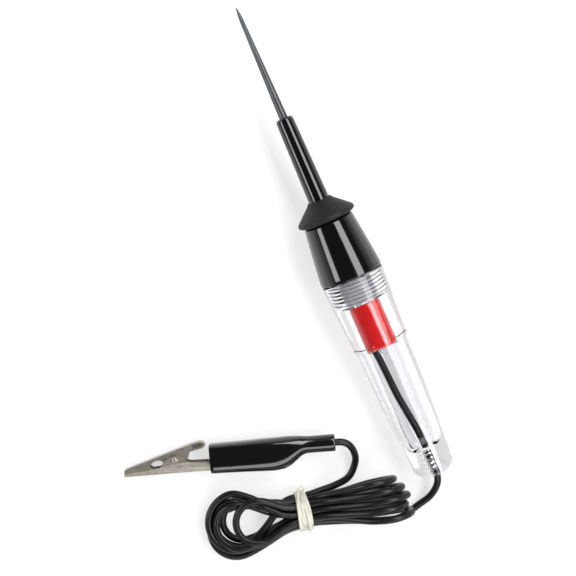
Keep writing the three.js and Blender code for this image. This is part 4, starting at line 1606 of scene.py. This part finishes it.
class TESTLIGHT_OT_boot(bpy.types.Operator):
    """Makes the clip's dipped boot"""

    bl_idname = "testlight.boot"
    bl_label = "Clip boot"

    def execute(self, context):
        around = 72
        wall = 0.8
        neck = sizes().lead_diameter / 2 / MM + 0.18  # clear of the lead when the boot slides
        stations = np.array(BOOT_STATIONS)
        at = self.eased_stations(stations)
        rings = [self.ring(station, 0.0, neck, around) for station in at]
        hollow = [station for station in at if station[0] < BOOT_HOLLOW_END]
        inner = [self.ring(station, wall, neck, around) for station in hollow]
        mouth = neck + 0.4
        bore = [self.ring((x, BOOT_NECK_MIDDLE, radius, radius, 2), 0.0, neck, around)
                for x, radius in ((57, neck), (67.5, neck), (BOOT_END, mouth))]
        points = [point for ring in [*rings, *[*inner, *bore][::-1]] for point in ring]
        faces = grid_faces(len(points) // around, around, True)
        boot = mesh_of("clip_boot_shell", points, faces, CLIP, 50)
        finished(boot, vinyl(), "boot", ["clip_boot"])
        return {"FINISHED"}

    @staticmethod
    def eased_stations(stations):
        """More stations on a smooth curve through the ones given."""
        fine = []
        for x in np.concatenate([stations[:3, 0], np.arange(17, 68.5, 0.75), stations[-3:, 0]]):
            i = int(np.clip(np.searchsorted(stations[:, 0], x) - 1, 1, len(stations) - 3))
            knots = stations[i - 1:i + 3]
            t = (x - knots[1, 0]) / (knots[2, 0] - knots[1, 0])
            spans = np.diff(knots[:, 0])
            slope_in = (knots[2] - knots[0]) / (spans[0] + spans[1]) * spans[1]
            slope_out = (knots[3] - knots[1]) / (spans[1] + spans[2]) * spans[1]
            share = (knots[1] * (2 * t ** 3 - 3 * t ** 2 + 1) + slope_in * (t ** 3 - 2 * t ** 2 + t)
                     + knots[2] * (3 * t ** 2 - 2 * t ** 3) + slope_out * (t ** 3 - t ** 2))
            fine.append((x, *share[1:]))
        return fine

    @staticmethod
    def ring(station, inset, least, around):
        x, middle, half_y, half_z, squareness = station
        points = []
        for j in range(around):
            angle = math.tau * j / around
            reach = [math.copysign(abs(value) ** (2 / squareness), value)
                     for value in (math.cos(angle), math.sin(angle))]
            points.append((x, middle + max(half_y - inset, least) * reach[0],
                           max(half_z - inset, least) * reach[1]))
        return points


# ---------------------------------------------------------------- floor, light and camera


# Brightness of the studio by the height of the direction: walls up to one, ceiling from the other.
WALL_TO_CEILING = {"From Min": 0.1, "From Max": 0.5, "To Min": 0.7, "To Max": 0.06}
# The view: its up on the floor, its half width, the camera's lean, and its aim from mid-tool.
VIEW_HEADING = Vector((0.9165, -0.40, 0))
VIEW_HALF_WIDTH = 0.1218
CAMERA_LEAN = math.radians(5.6)
AIM_HEIGHT = 0.012
AIM_LEFT = 0.0212
AIM_BELOW = 0.0182


def soft_light(name, place, aim, width, length, power, along=(1, 0, 0)):
    """A rectangular studio light whose long side runs along a direction."""
    data = bpy.data.lights.new(name, "AREA")
    data.shape = "RECTANGLE"
    data.size = length
    data.size_y = width
    data.energy = power
    light = object_of(name, data)
    back = (Vector(place) - Vector(aim)).normalized()
    x = Vector(along)
    x = (x - back * x.dot(back)).normalized()
    turn = Matrix((x, back.cross(x), back)).transposed().to_4x4()
    light.matrix_world = Matrix.Translation(place) @ turn
    light.visible_camera = False


def studio_walls():
    """White walls all round, and a dark ceiling that the black pieces mirror."""
    world = bpy.data.worlds.new("studio")
    world.use_nodes = True
    tree = world.node_tree
    direction = tree.nodes.new("ShaderNodeTexCoord").outputs["Generated"]
    split = tree.nodes.new("ShaderNodeSeparateXYZ")
    tree.links.new(direction, split.inputs[0])
    height = tree.nodes.new("ShaderNodeMapRange")
    height.interpolation_type = "SMOOTHSTEP"
    for key, value in WALL_TO_CEILING.items():
        height.inputs[key].default_value = value
    tree.links.new(split.outputs["Z"], height.inputs["Value"])
    tree.links.new(height.outputs[0], tree.nodes["Background"].inputs["Strength"])
    tree.nodes["Background"].inputs["Color"].default_value = (1, 1, 1, 1)
    return world


class TESTLIGHT_OT_stage(bpy.types.Operator):
    """Makes the floor, the soft lights and the camera"""

    bl_idname = "testlight.stage"
    bl_label = "Floor, light and camera"

    def execute(self, context):
        self.floor()
        self.lights(context.scene)
        self.camera(context.scene)
        return {"FINISHED"}

    @staticmethod
    def floor():
        reach = 4.0
        mesh = bpy.data.meshes.new("floor")
        corners = [(reach * x, reach * y, 0) for x, y in ((-1, -1), (1, -1), (1, 1), (-1, 1))]
        mesh.from_pydata(corners, [], [(0, 1, 2, 3)])
        mesh.materials.append(floor_paper())
        object_of("floor", mesh)

    @staticmethod
    def lights(scene):
        scene.world = studio_walls()
        scene.view_settings.view_transform = "Standard"
        middle = (0, 0, 0.01)
        soft_light("far_strip", (0.255, 0.54, 0.38), (0.255, 0, 0.01), 0.2, 0.62, 2.3)
        soft_light("near_strip", (0.05, -0.30, 0.52), middle, 0.26, 1.3, 6.6)
        soft_light("tail_panel", (-0.75, 0.1, 0.8), middle, 0.5, 0.9, 5.0, (0, 1, 0))

    @staticmethod
    def camera(scene):
        tip = TOOL.translation
        tail = TOOL @ Vector((-TOOL_LENGTH, 0, 0))
        middle = (tip + tail) / 2
        heading = VIEW_HEADING.normalized()
        right = Vector((heading.y, -heading.x, 0))
        aim = Vector((middle.x, middle.y, AIM_HEIGHT)) - AIM_LEFT * right - AIM_BELOW * heading
        back = Vector((math.sin(CAMERA_LEAN), 0, math.cos(CAMERA_LEAN)))
        data = bpy.data.cameras.new("camera")
        data.sensor_width = 36
        data.angle = 2 * math.atan(VIEW_HALF_WIDTH / sizes().camera_distance)
        data.dof.use_dof = False
        camera = object_of("camera", data)
        up = (heading - back * heading.dot(back)).normalized()
        place = Matrix((up.cross(back), up, back)).transposed().to_4x4()
        camera.matrix_world = Matrix.Translation(aim + back * sizes().camera_distance) @ place
        scene.camera = camera


# ---------------------------------------------------------------- panel and registration

MAKERS = (
    TESTLIGHT_OT_stage, TESTLIGHT_OT_lead, TESTLIGHT_OT_tie, TESTLIGHT_OT_needle,
    TESTLIGHT_OT_insulator, TESTLIGHT_OT_flange, TESTLIGHT_OT_nose, TESTLIGHT_OT_fasteners,
    TESTLIGHT_OT_contact, TESTLIGHT_OT_handle, TESTLIGHT_OT_sleeve, TESTLIGHT_OT_lamp_holder,
    TESTLIGHT_OT_lamp, TESTLIGHT_OT_joint, TESTLIGHT_OT_inner_lead, TESTLIGHT_OT_jaws,
    TESTLIGHT_OT_rivet, TESTLIGHT_OT_clip_springs, TESTLIGHT_OT_clip_strands, TESTLIGHT_OT_boot,
)


class TESTLIGHT_PT_panel(bpy.types.Panel):
    """Lists the sizes, the colours and the pieces"""

    bl_idname = "TESTLIGHT_PT_panel"
    bl_label = "Circuit test light"
    bl_space_type = "VIEW_3D"
    bl_region_type = "UI"
    bl_category = "Test light"

    def draw(self, context):
        for group in (context.scene.test_light_sizes, context.scene.test_light_colours):
            box = self.layout.box()
            for key in group.bl_rna.properties.keys():
                if key not in ("rna_type", "name"):
                    box.prop(group, key)
        column = self.layout.column(align=True)
        for maker in MAKERS:
            column.operator(maker.bl_idname)


CLASSES = (LightSizes, LightColours, *MAKERS, TESTLIGHT_PT_panel)


def register():
    for kind in CLASSES:
        bpy.utils.register_class(kind)
    bpy.types.Scene.test_light_sizes = PointerProperty(type=LightSizes)
    bpy.types.Scene.test_light_colours = PointerProperty(type=LightColours)


def unregister():
    del bpy.types.Scene.test_light_colours
    del bpy.types.Scene.test_light_sizes
    for kind in reversed(CLASSES):
        bpy.utils.unregister_class(kind)


def declare_lead():
    """The lead runs from the handle's tail to the clip; this takes the stored path off its piece."""
    lead = bpy.data.objects["lead"]
    del lead["path"]


def main():
    register()
    for maker in MAKERS:
        group, action = maker.bl_idname.split(".")
        getattr(getattr(bpy.ops, group), action)()
    declare_lead()


if __name__ == "__main__":
    main()
